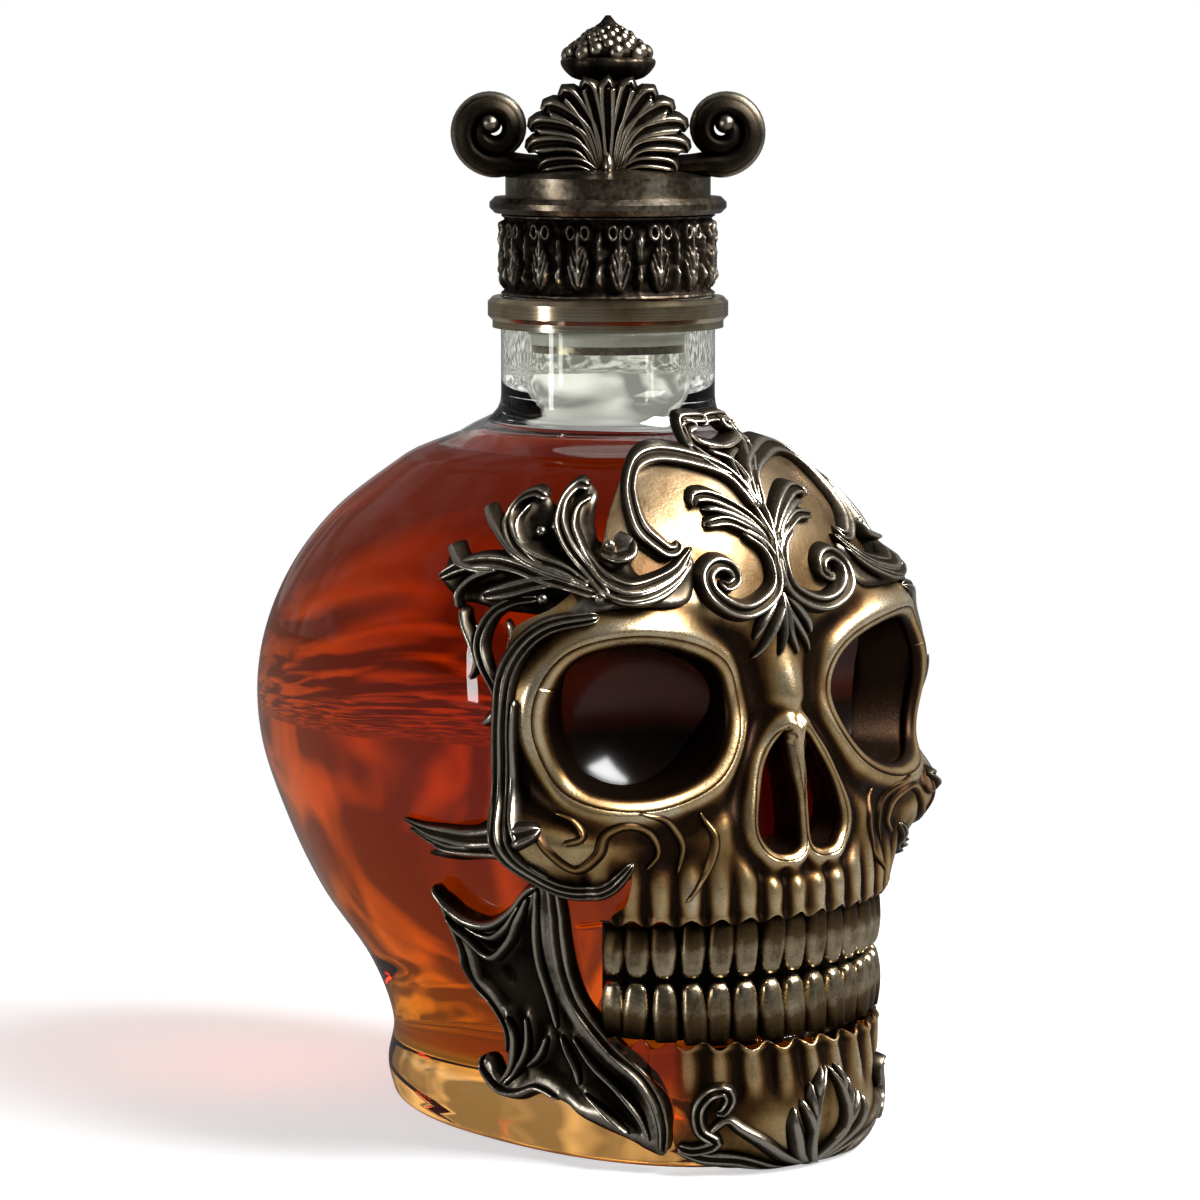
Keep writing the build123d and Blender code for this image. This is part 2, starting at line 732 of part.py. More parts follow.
def make_finial_cup():
    """The flared leaf cup under the bud, with scalloped leaves."""
    cup = turned_polygon([
        (0, cup_bottom), (fan_setback, cup_bottom), (cup_radius, cup_top - cup_height / 3),
        (cup_radius - band_relief, cup_top), (0, cup_top),
    ])
    for k in range(cup_notch_count):
        notch = Pos(cup_radius, 0, cup_top) * Box(
            2 * band_relief, 2 * band_relief, cup_height)
        cup = cup - Rot(0, 0, 360 * k / cup_notch_count) * notch
    return cup


def make_bud():
    """The finial's bud: tiers of pointed scales, smaller towards the tip."""
    base = cup_radius - 2 * band_relief
    bud = Pos(0, 0, cup_top) * Cone(base * 0.8, band_relief / 2, bud_height,
                                    align=(Align.CENTER, Align.CENTER, Align.MIN))
    for tier in range(bud_tier_count):
        share = tier / bud_tier_count
        count = bud_scale_count - bud_scale_step * tier
        size = base * 0.5 * (1 - share * 0.55)
        radius = base * 0.74 * (1 - share)
        height = cup_top + bud_height * share + size * 0.45
        scale = Rot(0, bud_scale_lean, 0) * Box(size, size, size)
        for k in range(count):
            turn = Rot(0, 0, 360 * (k + 0.5 * (tier % 2)) / count)
            bud = bud + turn * Pos(radius, 0, height) * scale
    floor = Pos(0, 0, cup_top) * Box(4 * cup_radius, 4 * cup_radius, cup_height,
                                     align=(Align.CENTER, Align.CENTER, Align.MAX))
    return seat(bud, floor)


# The bottle and what is fixed to it
glass_skin = glass_solid()
face_skin = face_blank(0.0)
scroll_skin = face_blank(scroll_rise)
save("glass_vessel", make_glass(glass_skin))
save("neck_collar", make_collar())
for name, side in (("right", -1), ("left", 1)):
    save("eye_bowl_" + name, make_eye_bowl(side, glass_skin))

eye_hole = front_prism(closed_curve(eye_outline_shares, glass_half_width, glass_height))
nose_hole = front_prism(closed_curve(nose_outline_shares, glass_half_width, glass_height))
holes = eye_hole + nose_hole
holes = holes + mirror(holes, about=Plane.YZ)
face_prism = front_prism(mirrored_polygon(
    face_edge_shares + [(0.600, upper_gum_share)], glass_half_width, glass_height), -face_rim_setback)
metal = face_skin - glass_skin
face_plate = largest((metal & face_prism) - holes)
save("face_plate", face_plate)
save("upper_teeth", make_teeth(upper_gum_height, bite_top, 0.25))
save("lower_teeth", make_teeth(lower_gum_height, bite_bottom, 0.35))
save("mouth_backing", make_mouth_backing())
jaw_prism = front_prism(mirrored_polygon(
    [(0.575, lower_gum_share)] + jaw_edge_shares, glass_half_width, glass_height))
save("mandible_plate", largest(metal & jaw_prism))

# The ornaments, each seated on the glass or on the metal under it
temple_prism = front_prism(strand_outlines(temple_strand_shares, temple_strand_width))
brow_prism = front_prism(band_outline(brow_scroll_shares, scroll_width))
palm_prism = front_prism(mirrored_polygon(palm_leaf_shares, glass_half_width, glass_height))
volute_prism = front_prism(band_outline(palm_volute_shares, scroll_width))
strap_prism = side_prism(side_outline(jaw_strap_shares))
spur_prism = side_prism(side_outline(cheek_spur_shares))
curl_prism = side_prism(side_outline(temple_curl_shares))
leaf_prism = front_prism(mirrored_polygon(chin_leaf_shares, glass_half_width, glass_height))
chin_prism = front_prism(band_outline(chin_scroll_shares, chin_scroll_width))
both_sides("temple_leaves", scroll_skin, temple_prism, (), (face_plate, glass_skin))
both_sides("brow_scroll", scroll_skin, brow_prism, (temple_prism, palm_prism), (face_skin,))
both_sides("palm_volute", scroll_skin, volute_prism, (palm_prism, temple_prism), (face_skin,))
save("forehead_palm", seat(scroll_skin & palm_prism, face_skin))
knot_prism = front_prism(knot_outline())
save("crest_knot", seat(scroll_skin & knot_prism, face_plate, glass_skin, brow_prism,
                        mirror(brow_prism, about=Plane.YZ), palm_prism))
both_sides("jaw_strap", scroll_skin, strap_prism, (face_prism, jaw_prism), (glass_skin,))
both_sides("cheek_spur", scroll_skin, spur_prism, (face_prism,), (glass_skin,))
both_sides("temple_curl", scroll_skin, curl_prism, (temple_prism, eye_hole),
           (face_plate, glass_skin))
save("chin_leaf", seat(scroll_skin & leaf_prism, face_skin))
both_sides("chin_scroll", scroll_skin, chin_prism, (leaf_prism,), (face_skin,))

# The stopper, with its crown turned towards the side that the neck's pourer sees
turn = Rot(0, 0, crown_turn)
drum = make_drum()
front_fan = make_fan(drum)
back_fan = mirror(front_fan, about=Plane.XZ)
right_volute = make_volute(drum, (front_fan, back_fan, make_finial_post(drum)))
save("plug_seals", make_seals())
save("stopper_plug", make_plug())
save("crown_stud", make_stud())
save("cap_band", turn * make_cap_band())
save("bead_ring", make_bead_ring())
save("crown_drum", turn * drum)
save("palmette_front", turn * front_fan)
save("palmette_back", turn * back_fan)
save("volute_right", turn * right_volute)
save("volute_left", turn * mirror(right_volute, about=Plane.YZ))
save("finial_post", make_finial_post(drum))
save("finial_cup", turn * make_finial_cup())
save("finial_bud", turn * make_bud())
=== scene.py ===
"""A skull-shaped glass liquor decanter with a cast metal face and a crowned stopper.

Lengths are millimetres until a mesh is made. The skull looks towards -Y, its own right side is at -X.
"""
import math

import bpy
import numpy as np
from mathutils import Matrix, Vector


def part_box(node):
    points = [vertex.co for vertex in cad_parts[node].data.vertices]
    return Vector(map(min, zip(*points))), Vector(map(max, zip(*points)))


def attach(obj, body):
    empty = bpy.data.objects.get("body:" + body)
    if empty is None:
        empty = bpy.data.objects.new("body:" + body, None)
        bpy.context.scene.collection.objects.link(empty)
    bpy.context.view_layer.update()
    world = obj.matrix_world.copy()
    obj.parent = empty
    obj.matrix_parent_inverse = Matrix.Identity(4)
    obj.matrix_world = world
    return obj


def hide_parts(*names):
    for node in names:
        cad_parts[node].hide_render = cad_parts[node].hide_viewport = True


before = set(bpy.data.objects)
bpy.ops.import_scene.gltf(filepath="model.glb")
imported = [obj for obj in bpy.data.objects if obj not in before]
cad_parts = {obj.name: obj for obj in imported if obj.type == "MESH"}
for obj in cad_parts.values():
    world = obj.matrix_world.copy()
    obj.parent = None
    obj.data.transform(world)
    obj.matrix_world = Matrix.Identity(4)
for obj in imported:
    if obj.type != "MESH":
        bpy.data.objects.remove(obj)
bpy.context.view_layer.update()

MM = 0.001
white = (1.0, 1.0, 1.0, 1.0)
rng = np.random.default_rng(11)

# Sizes of the glass
glass_height = 176.5
glass_half_width = 59.5
glass_front_reach = 64.5
glass_back_reach = 96.0
widest_line_shift = 12.0
neck_radius = 22.8
neck_bore_radius = 17.4
glass_wall = 4.0
throat_taper = 1.6
foot_thickness = 9.0
liquor_level = 144.0
liquor_overlap = 0.03       # the liquor reaches this far into the wall, so that no air shows between
plate_thickness = 3.0
eye_height = 94.5
eye_offset = 33.0
bowl_radius = 26.0
bowl_depth = 17.0
face_relief = 8.5
arc_radius = 65.0           # turns an angle round the head into a distance along its skin
plate_cell = 0.5            # the grid that the cast sheets are worked out on
floor_ease = 1.5            # below this height castings are drawn up, so that none passes the floor
glass_points = 260          # points round the bottle

# The face's landmarks
gum_top = 52.0
gum_bottom = 27.5
bite_top = 41.0
bite_bottom = 39.6
teeth_per_side = 8
arch_half_width = 37.0
arch_depth = 26.0
arch_centre_y = -38.0
tooth_depth = 3.5
gum_depth = 1.5

# Sections of the glass: shares of height, half width, front, widest line and back, and squareness
section_shares = [
    (0.000, 0.640, 0.930, 0.00, 0.594, 2.3),
    (0.040, 0.664, 0.977, 0.00, 0.615, 2.3),
    (0.096, 0.647, 1.000, 0.00, 0.600, 2.3),
    (0.170, 0.680, 0.992, 0.17, 0.688, 2.3),
    (0.250, 0.773, 0.946, 0.42, 0.854, 2.3),
    (0.340, 0.874, 0.907, 0.67, 0.948, 2.4),
    (0.442, 0.966, 0.868, 0.92, 1.000, 2.7),
    (0.544, 1.000, 0.814, 1.00, 0.970, 3.0),
    (0.646, 0.966, 0.775, 1.00, 0.854, 2.9),
    (0.731, 0.840, 0.698, 0.83, 0.708, 2.6),
    (0.800, 0.664, 0.574, 0.50, 0.510, 2.2),
    (0.856, 0.471, 0.419, 0.17, 0.333, 2.0),
    (0.885, 0.408, 0.374, 0.00, 0.252, 2.0),
]
neck_start_share = 0.918
neck_root = neck_radius - throat_taper / 2
section_sizes = np.array([glass_height, glass_half_width, glass_front_reach, widest_line_shift,
                          glass_back_reach, 1.0])
sections = np.vstack([np.array(section_shares) * section_sizes,
                      [neck_start_share * glass_height, neck_root, neck_root, 0, neck_root, 2.0]])

# Swellings of the face: shares across and up, spread across and up, and rise
swelling_shares = [
    (0.57, 0.652, 0.34, 0.031, 0.45),
    (0.92, 0.572, 0.15, 0.074, 0.53),
    (0.81, 0.390, 0.25, 0.048, 1.05),
    (0.00, 0.567, 0.13, 0.068, 0.30),
    (0.00, 0.442, 0.20, 0.068, 0.24),
    (0.00, 0.340, 0.44, 0.051, 0.24),
    (0.00, 0.068, 0.37, 0.068, 0.55),
    (0.00, 0.725, 0.50, 0.102, 0.30),
]


def smooth_step(value, low, high):
    t = np.clip((value - low) / (high - low), 0, 1)
    return t * t * (3 - 2 * t)


def bump(value, middle, spread):
    return np.exp(-((value - middle) / spread)**2)


def sections_at(height):
    """The glass section at any heights, on a smooth curve through the rows."""
    height = np.asarray(height, float)
    index = np.clip(np.searchsorted(sections[:, 0], height) - 1, 0, len(sections) - 2)
    low, high = sections[index], sections[index + 1]
    before = sections[np.maximum(index - 1, 0)]
    after = sections[np.minimum(index + 2, len(sections) - 1)]
    step = (high[..., 0] - low[..., 0])[..., None]
    t = (height[..., None] - low[..., :1]) / step
    slope_low = (high - before) / (high[..., :1] - before[..., :1]) * step
    slope_high = (after - low) / (after[..., :1] - low[..., :1]) * step
    values = ((2 * t**3 - 3 * t**2 + 1) * low + (t**3 - 2 * t**2 + t) * slope_low
              + (3 * t**2 - 2 * t**3) * high + (t**3 - t**2) * slope_high)
    return [values[..., k] for k in range(1, 6)]


def section_radius(angle, section):
    width, front, widest, back, squareness = section
    across, ahead = np.sin(angle), np.cos(angle)
    in_front = ahead > 0
    reach = np.where(in_front, widest + front, back - widest)
    power = np.where(in_front, squareness, 2.0)
    radius = ((np.abs(across) / width)**power + (np.abs(ahead) / reach)**power)**(-1 / power)
    return radius, reach, power


def skin(angle, height, offset=0.0, section=None):
    """Points of the glass's skin, angle 0 at the front, moved outwards by offset."""
    angle, height = np.broadcast_arrays(np.asarray(angle, float), np.asarray(height, float))
    section = sections_at(height) if section is None else section
    radius, reach, power = section_radius(angle, section)
    x, y = radius * np.sin(angle), radius * np.cos(angle)
    slope_x = np.sign(x) * np.abs(x)**(power - 1) / section[0]**power
    slope_y = np.sign(y) * np.abs(y)**(power - 1) / reach**power
    length = np.hypot(slope_x, slope_y)
    return np.stack([x + slope_x / length * offset,
                     section[2] - y - slope_y / length * offset, height], -1)


def relief(x, height):
    """How far the face swells off its plain plate."""
    total = np.zeros(np.broadcast(x, height).shape)
    for across, up, spread_x, spread_z, rise in swelling_shares:
        for middle in {across, -across}:
            dx = (x / glass_half_width - middle) / spread_x
            dz = (height / glass_height - up) / spread_z
            total += rise * face_relief * np.exp(-dx**2 - dz**2)
    return total


def plate_offset(x, height):
    return plate_thickness + relief(x, height)


# The photographed view: the camera stands at this azimuth and elevation round a point on the axis
view_azimuth = math.radians(-40.0)
view_elevation = math.radians(7.0)
view_target_height = 111.3
view_shift = -1.7
photo_size = 1200
focal_pixels = 4500.0
pixels_per_mm = 4.66
ray_steps, ray_step = 400, 0.4
view_back = np.array([math.sin(view_azimuth) * math.cos(view_elevation),
                      -math.cos(view_azimuth) * math.cos(view_elevation), math.sin(view_elevation)])
view_right = np.array([math.cos(view_azimuth), math.sin(view_azimuth), 0.0])
view_up = np.cross(view_back, view_right)
view_target = np.array([0, 0, view_target_height]) + view_right * view_shift
camera_place = view_target + view_back * focal_pixels / pixels_per_mm


def on_head(traced):
    """Where points traced on the view fall on the head: distance along its skin, and height."""
    traced = np.asarray(traced, float) - photo_size / 2
    rays = traced[:, :1] * view_right - traced[:, 1:2] * view_up - focal_pixels * view_back
    rays /= np.linalg.norm(rays, axis=1)[:, None]

    def outside(reach):
        place = camera_place + rays * reach[:, None]
        section = sections_at(np.clip(place[:, 2], 0.5, sections[-1][0] - 0.5))
        angle = np.arctan2(place[:, 0], section[2] - place[:, 1])
        radius = section_radius(angle, section)[0]
        gap = (np.hypot(place[:, 0], section[2] - place[:, 1]) - radius
               - plate_offset(place[:, 0], place[:, 2]))
        return gap, angle, place

    reach = np.full(len(traced), np.linalg.norm(camera_place) - 1.6 * glass_back_reach)
    best_gap, best_reach = np.full(len(traced), np.inf), reach.copy()
    hit = np.zeros(len(traced), bool)
    for _ in range(ray_steps):
        gap = outside(reach)[0]
        better = (gap < best_gap) & ~hit
        best_gap = np.where(better, gap, best_gap)
        best_reach = np.where(better, reach, best_reach)
        hit |= gap <= 0
        reach = np.where(hit, reach, reach + ray_step)
    gap, angle, place = outside(np.where(hit, reach, best_reach))
    return np.stack([angle * arc_radius, place[:, 2]], -1)


def run_length(points):
    """The way along a line at each of its points."""
    return np.append(0, np.cumsum(np.linalg.norm(np.diff(points[:, :2], axis=0), axis=1)))


def smooth_route(points, spacing=0.7, closed=False):
    """A smooth line through points, sampled at even steps. Further columns are carried along."""
    points = np.asarray(points, float)
    if closed:
        points = np.vstack([points[-1], points, points[:2]])
    else:
        points = np.vstack([2 * points[0] - points[1], points, 2 * points[-1] - points[-2]])
    fine = []
    for k in range(1, len(points) - 2):
        rows, knots = points[k - 1:k + 3], [0.0]
        for a, b in zip(rows, rows[1:]):
            knots.append(knots[-1] + max(np.linalg.norm((b - a)[:2]), 1e-6)**0.5)
        t = np.linspace(knots[1], knots[2], 24, endpoint=False)[:, None]
        for spans in ([(0, 1), (1, 2), (2, 3)], [(0, 2), (1, 3)], [(1, 2)]):
            rows = [(knots[j] - t) / (knots[j] - knots[i]) * a + (t - knots[i]) / (knots[j] - knots[i]) * b
                    for (i, j), a, b in zip(spans, rows, rows[1:])]
        fine.append(rows[0])
    fine = np.vstack(fine + [points[-2:-1]])
    lengths = run_length(fine)
    count = max(int(lengths[-1] / spacing), 8)
    at = np.linspace(0, lengths[-1], count + 1)[:count if closed else count + 1]
    return np.stack([np.interp(at, lengths, fine[:, k]) for k in range(points.shape[1])], -1)


def signed_distance(points, outline):
    """Distance from points to a closed outline, negative inside it."""
    shape, batch = points.shape[:-1], 20000
    points = points.reshape(-1, 2)
    start, end = outline, np.roll(outline, -1, axis=0)
    edge = end - start
    rise = np.where(edge[:, 1] == 0, 1e-9, edge[:, 1])
    result = np.empty(len(points))
    for first in range(0, len(points), batch):
        block = points[first:first + batch, None, :]
        along = ((block - start) * edge).sum(-1) / np.maximum((edge**2).sum(-1), 1e-9)
        nearest = start + np.clip(along, 0, 1)[..., None] * edge
        distance = np.sqrt(((block - nearest)**2).sum(-1)).min(1)
        above = (start[:, 1] > block[..., 1]) != (end[:, 1] > block[..., 1])
        crossing = start[:, 0] + (block[..., 1] - start[:, 1]) / rise * edge[:, 0]
        inside = (above & (block[..., 0] < crossing)).sum(1) % 2 == 1
        result[first:first + batch] = np.where(inside, -distance, distance)
    return result.reshape(shape)


def mirrored(points):
    """The same points on the skull's other side."""
    return np.asarray(points) * np.array([-1] + [1] * (np.shape(points)[1] - 1))


def math_method(operation, swapped=False):
    """A method that puts a socket and another value through a math node."""
    def method(self, other):
        first, second = (other, self) if swapped else (self, other)
        return self.tree.node("ShaderNodeMath", {0: first, 1: second}, operation=operation)
    return method


class Socket:
    """A node's socket that can be used in sums and products."""

    def __init__(self, tree, socket):
        self.tree, self.socket = tree, socket

    __add__, __radd__ = math_method("ADD"), math_method("ADD", True)
    __sub__, __rsub__ = math_method("SUBTRACT"), math_method("SUBTRACT", True)
    __mul__, __rmul__ = math_method("MULTIPLY"), math_method("MULTIPLY", True)
    __pow__ = math_method("POWER")

    def clamped(self):
        return self.tree.node("ShaderNodeClamp", {"Value": self})


class Tree:
    """A node tree under construction."""

    def __init__(self, tree):
        self.tree = tree

    def node(self, kind, values=None, output=0, stops=None, **settings):
        """A node of a type: its settings, its ramp's stops, and the values or links of its sockets."""
        node = self.tree.nodes.new(kind)
        for key, value in settings.items():
            setattr(node, key, value)
        if stops:
            ramp = node.color_ramp
            while len(ramp.elements) < len(stops):
                ramp.elements.new(0.5)
            for element, (position, color) in zip(ramp.elements, stops):
                element.position, element.color = position, (*color, 1.0)
        for key, value in (values or {}).items():
            if isinstance(value, Socket):
                self.tree.links.new(value.socket, node.inputs[key])
            else:
                node.inputs[key].default_value = value
        return Socket(self, node.outputs[output]) if node.outputs else node


class Growth(Tree):
    """A geometry tree: it grows a mesh along paths, or on places, with a shape and a material."""

    def __init__(self, name, shape_name):
        super().__init__(bpy.data.node_groups.new(name, "GeometryNodeTree"))
        face = self.tree.interface
        face.new_socket("Geometry", in_out="INPUT", socket_type="NodeSocketGeometry")
        face.new_socket(shape_name, in_out="INPUT", socket_type="NodeSocketObject")
        face.new_socket("Material", in_out="INPUT", socket_type="NodeSocketMaterial")
        face.new_socket("Geometry", in_out="OUTPUT", socket_type="NodeSocketGeometry")
        start = self.tree.nodes.new("NodeGroupInput")
        self.start, self.shape, self.material = [Socket(self, start.outputs[k]) for k in range(3)]

    def named(self, name, kind="FLOAT"):
        """An attribute that the mesh carries."""
        return self.node("GeometryNodeInputNamedAttribute", {"Name": name}, data_type=kind)

    def moved(self, place, direction, amount):
        """A place, moved along one attribute's vector by another attribute's share of it."""
        way = self.node("ShaderNodeVectorMath", {0: self.named(direction, "FLOAT_VECTOR"),
                                                 "Scale": self.named(amount)}, operation="SCALE")
        return self.node("ShaderNodeVectorMath", {0: place, 1: way}, operation="ADD")

    def end(self, geometry):
        """Realize what has grown and give it its material."""
        real = self.node("GeometryNodeRealizeInstances", {"Geometry": geometry})
        done = self.node("GeometryNodeSetMaterial", {"Geometry": real, "Material": self.material})
        finish = self.tree.nodes.new("NodeGroupOutput")
        self.tree.links.new(done.socket, finish.inputs[0])
        return self.tree


def strand_growth():
    """Sweeps a strap's outline along each path, at its own width and height over the metal."""
    grow = Growth("strands", "Outline")
    path = grow.node("GeometryNodeMeshToCurve", {"Mesh": grow.start})
    shape = grow.node("GeometryNodeObjectInfo", {"Object": grow.shape}, output="Geometry")
    outline = grow.node("GeometryNodeMeshToCurve", {"Mesh": shape})
    swept = grow.node("GeometryNodeCurveToMesh", {"Curve": path, "Profile Curve": outline,
                                                  "Fill Caps": True})
    place = grow.named("centre", "FLOAT_VECTOR")
    for direction, amount in (("aside", "across"), ("rise", "height"), ("sink", "foot")):
        place = grow.moved(place, direction, amount)
    return grow.end(grow.node("GeometryNodeSetPosition", {"Geometry": swept, "Position": place}))


def repeat_growth():
    """Sets a shape on each place, turned and sized for it."""
    grow = Growth("repeats", "Shape")
    shape = grow.node("GeometryNodeObjectInfo", {"Object": grow.shape, "As Instance": True},
                      output="Geometry")
    return grow.end(grow.node("GeometryNodeInstanceOnPoints", {
        "Points": grow.start, "Instance": shape, "Rotation": grow.named("turn", "FLOAT_VECTOR"),
        "Scale": grow.named("size", "FLOAT_VECTOR")}))


strands_tree, repeats_tree = strand_growth(), repeat_growth()


def new_object(name, data):
    """An object that is in the scene."""
    made = bpy.data.objects.new(name, data)
    bpy.context.scene.collection.objects.link(made)
    return made


def plain_object(name, vertices, edges, faces, values):
    """A mesh object with attributes on its points."""
    mesh = bpy.data.meshes.new(name)
    mesh.from_pydata(np.asarray(vertices, float).tolist(), edges, faces)
    for key, data in values.items():
        data = np.asarray(data, float)
        vector = data.ndim == 2
        layer = mesh.attributes.new(key, "FLOAT_VECTOR" if vector else "FLOAT", "POINT")
        layer.data.foreach_set("vector" if vector else "value", data.ravel())
    return new_object(name, mesh)


def grown(tree, places, inputs):
    """What a geometry tree grows on places, as plain points, faces and their wear."""
    modifier = places.modifiers.new("growth", "NODES")
    modifier.node_group = tree
    for item in tree.interface.items_tree:
        if item.name in inputs:
            modifier[item.identifier] = inputs[item.name]
    graph = bpy.context.evaluated_depsgraph_get()
    mesh = bpy.data.meshes.new_from_object(places.evaluated_get(graph), preserve_all_data_layers=True,
                                           depsgraph=graph)
    vertices = np.zeros(len(mesh.vertices) * 3)
    mesh.vertices.foreach_get("co", vertices)
    wear = np.zeros(len(mesh.vertices))
    mesh.attributes["wear"].data.foreach_get("value", wear)
    faces = [list(polygon.vertices) for polygon in mesh.polygons]
    places.modifiers.remove(modifier)
    for used in [places] + [value for value in inputs.values() if isinstance(value, bpy.types.Object)]:
        spare = used.data
        bpy.data.objects.remove(used)
        bpy.data.meshes.remove(spare)
    bpy.data.meshes.remove(mesh)
    return vertices.reshape(-1, 3), faces, wear


def outward(vertices, faces):
    """The same faces, all turned so that they look out of the solid that they close."""
    vertices, volume = np.asarray(vertices, float), 0.0
    for size in {len(face) for face in faces}:
        corners = vertices[np.array([face for face in faces if len(face) == size])]
        for k in range(1, size - 1):
            volume += np.einsum("ij,ij->", corners[:, 0], np.cross(corners[:, k], corners[:, k + 1]))
    return faces if volume > 0 else [list(face)[::-1] for face in faces]


def add_piece(name, vertices, faces, material, body, nodes, values):
    """A finished mesh piece, in metres, on a body. Values become point attributes that materials read."""
    mesh = bpy.data.meshes.new(name)
    faces = [list(map(int, face)) for face in outward(vertices, faces)]
    mesh.from_pydata((np.asarray(vertices) * MM).tolist(), [], faces)
    for key, data in values.items():
        mesh.attributes.new(key, "FLOAT", "POINT").data.foreach_set("value", np.asarray(data, float))
    mesh.materials.append(material)
    mesh.shade_smooth()
    piece = new_object(name, mesh)
    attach(piece, body)
    if nodes:
        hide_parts(*nodes)
    return piece


class Casting:
    """Meshes that are cast together: they are gathered here and become one piece."""

    def __init__(self, material):
        self.vertices, self.faces, self.wear, self.count = [], [], [], 0
        self.paths, self.repeats, self.material = {}, [], material

    def add(self, vertices, faces, wear):
        self.vertices.append(np.asarray(vertices, float))
        self.faces += [[int(v) + self.count for v in face] for face in outward(vertices, faces)]
        self.wear.append(np.broadcast_to(np.asarray(wear, float), (len(vertices),)))
        self.count += len(vertices)

    def join(self, other, rubbed=1.0):
        """Take up another casting, with its wear at a share."""
        self.add(np.vstack(other.vertices), other.faces, np.concatenate(other.wear) * rubbed)

    def add_path(self, profile, values):
        """A path that a strap of this profile will be swept along."""
        self.paths.setdefault(profile, []).append(values)

    def add_repeats(self, shape, places, turns, sizes):
        """Places that a shape will be set on. The shape is its points, its faces and their wear."""
        self.repeats.append((shape, places, turns, sizes))

    def grow(self):
        """Sweep the straps and set the repeated shapes that were asked for."""
        for (flutes, groove), paths in self.paths.items():
            edges, start = [], 0
            for path in paths:
                edges += [(start + k, start + k + 1) for k in range(len(path["centre"]) - 1)]
                start += len(path["centre"])
            values = {key: np.concatenate([path[key] for path in paths]) for key in paths[0]}
            places = plain_object("paths", values["centre"], edges, [], values)
            outline = strap_outline(flutes, groove)
            count = len(outline["across"])
            ring = np.stack([outline["across"], outline["height"] - outline["foot"], np.zeros(count)], -1)
            shape = plain_object("outline", ring, [(k, (k + 1) % count) for k in range(count)], [], outline)
            self.add(*grown(strands_tree, places, {"Outline": shape, "Material": self.material}))
        for (points, faces, wear), where, turns, sizes in self.repeats:
            places = plain_object("places", where, [], [], {"turn": turns, "size": sizes})
            shape = plain_object("shape", points, [], faces, {"wear": wear})
            self.add(*grown(repeats_tree, places, {"Shape": shape, "Material": self.material}))
        self.paths, self.repeats = {}, []

    def twin(self):
        """The same casting, mirrored to the skull's other side."""
        self.grow()
        other = Casting(self.material)
        vertices = np.vstack(self.vertices) * np.array([-1, 1, 1])
        other.add(vertices, self.faces, np.concatenate(self.wear))
        return other

    def finish(self, name, body, nodes, slot="antique_pewter"):
        """The casting as one piece, with nothing under the floor."""
        self.grow()
        vertices = np.vstack(self.vertices)
        low = np.minimum(vertices[:, 2], floor_ease)
        vertices[:, 2] += floor_ease * np.exp((low - floor_ease) / floor_ease) - low
        return add_piece(name, vertices, self.faces, self.material, body, nodes,
                         {"wear": np.concatenate(self.wear)})


def ring_faces(rings, around, wrapped=False):
    """Quads between rings of points that follow each other. Wrapped, the last one meets the first."""
    faces = []
    for ring in range(rings if wrapped else rings - 1):
        low, high = ring * around, (ring + 1) % rings * around
        for k in range(around):
            n = (k + 1) % around
            faces.append((low + k, low + n, high + n, high + k))
    return faces


def head_place(along, height, lift):
    """A point over the glass's skin, by its distance along the skin and its height."""
    return skin(along / arc_radius, height, lift)


def carrier_lift(along, height):
    """How far the surface under an ornament stands off the glass: the plate's front, or nothing."""
    x = skin(along / arc_radius, height)[..., 0]
    inside = signed_distance(np.stack(np.broadcast_arrays(along, height), -1), plate_edge)
    return plate_offset(x, height) * smooth_step(-inside, -2.5, 4.0)


def flute_profile(across, flutes, groove):
    """A domed strap with rounded ridges along it: its height, and how much its ridges are rubbed."""
    dome = np.clip(1 - np.abs(across)**2.4, 0, 1)**0.62
    ridge = 0.5 - 0.5 * np.cos(math.pi * flutes * (across + 1))
    height = dome * (1 - groove * (1 - ridge))
    rubbed = np.clip(0.12 + 0.95 * ridge * dome**1.5, 0, 1)
    return height, rubbed


def strap_outline(flutes, groove):
    """The outline of a strap across its run: places, heights, foot and wear at each of its points."""
    across = np.linspace(-1, 1, 6 * flutes + 3)
    height, rubbed = flute_profile(across, flutes, groove)
    return {"across": np.append(across, [0.9, -0.9]), "height": np.append(height, [0.0, 0.0]),
            "foot": np.append(np.zeros(len(across)), [1.0, 1.0]), "wear": np.append(rubbed, [0.0, 0.0])}


def add_strand(casting, route, half_widths, rise, flutes=3, groove=0.45, place=None, sunk=1.2,
               closed=False):
    """A cast strap along a route on the head, its half width given at each of the route's points."""
    place = place or (lambda a, z, h: head_place(a, z, carrier_lift(a, z) + h))
    shares = np.linspace(0, 1, len(half_widths))
    widths = np.interp(np.linspace(0, 1, len(route)), shares, half_widths)
    line = smooth_route(np.column_stack([route, widths]))
    run = run_length(line)
    ends = np.minimum(run, run[-1] - run) / np.maximum(np.maximum(line[:, 2], 0.3) * 1.2, 0.3) + closed
    width = np.maximum(line[:, 2] * np.sqrt(1 - (1 - np.clip(ends, 0, 1))**2), 0.12)
    tangent = np.gradient(line[:, :2], axis=0)
    tangent /= np.linalg.norm(tangent, axis=1)[:, None] + 1e-9
    side = np.stack([-tangent[:, 1], tangent[:, 0]], -1)
    level = np.zeros(len(line))
    centre = place(line[:, 0], line[:, 1], level)
    edges = [place(*(line[:, :2] + way * width[:, None] * side).T, level) for way in (1, -1)]
    out = place(line[:, 0], line[:, 1], level + 1) - centre
    thick = rise * np.minimum(1, (width / max(half_widths))**0.6)
    casting.add_path((flutes, groove), {
        "centre": centre, "aside": (edges[0] - edges[1]) / 2, "rise": out * thick[:, None],
        "sink": -out * sunk})


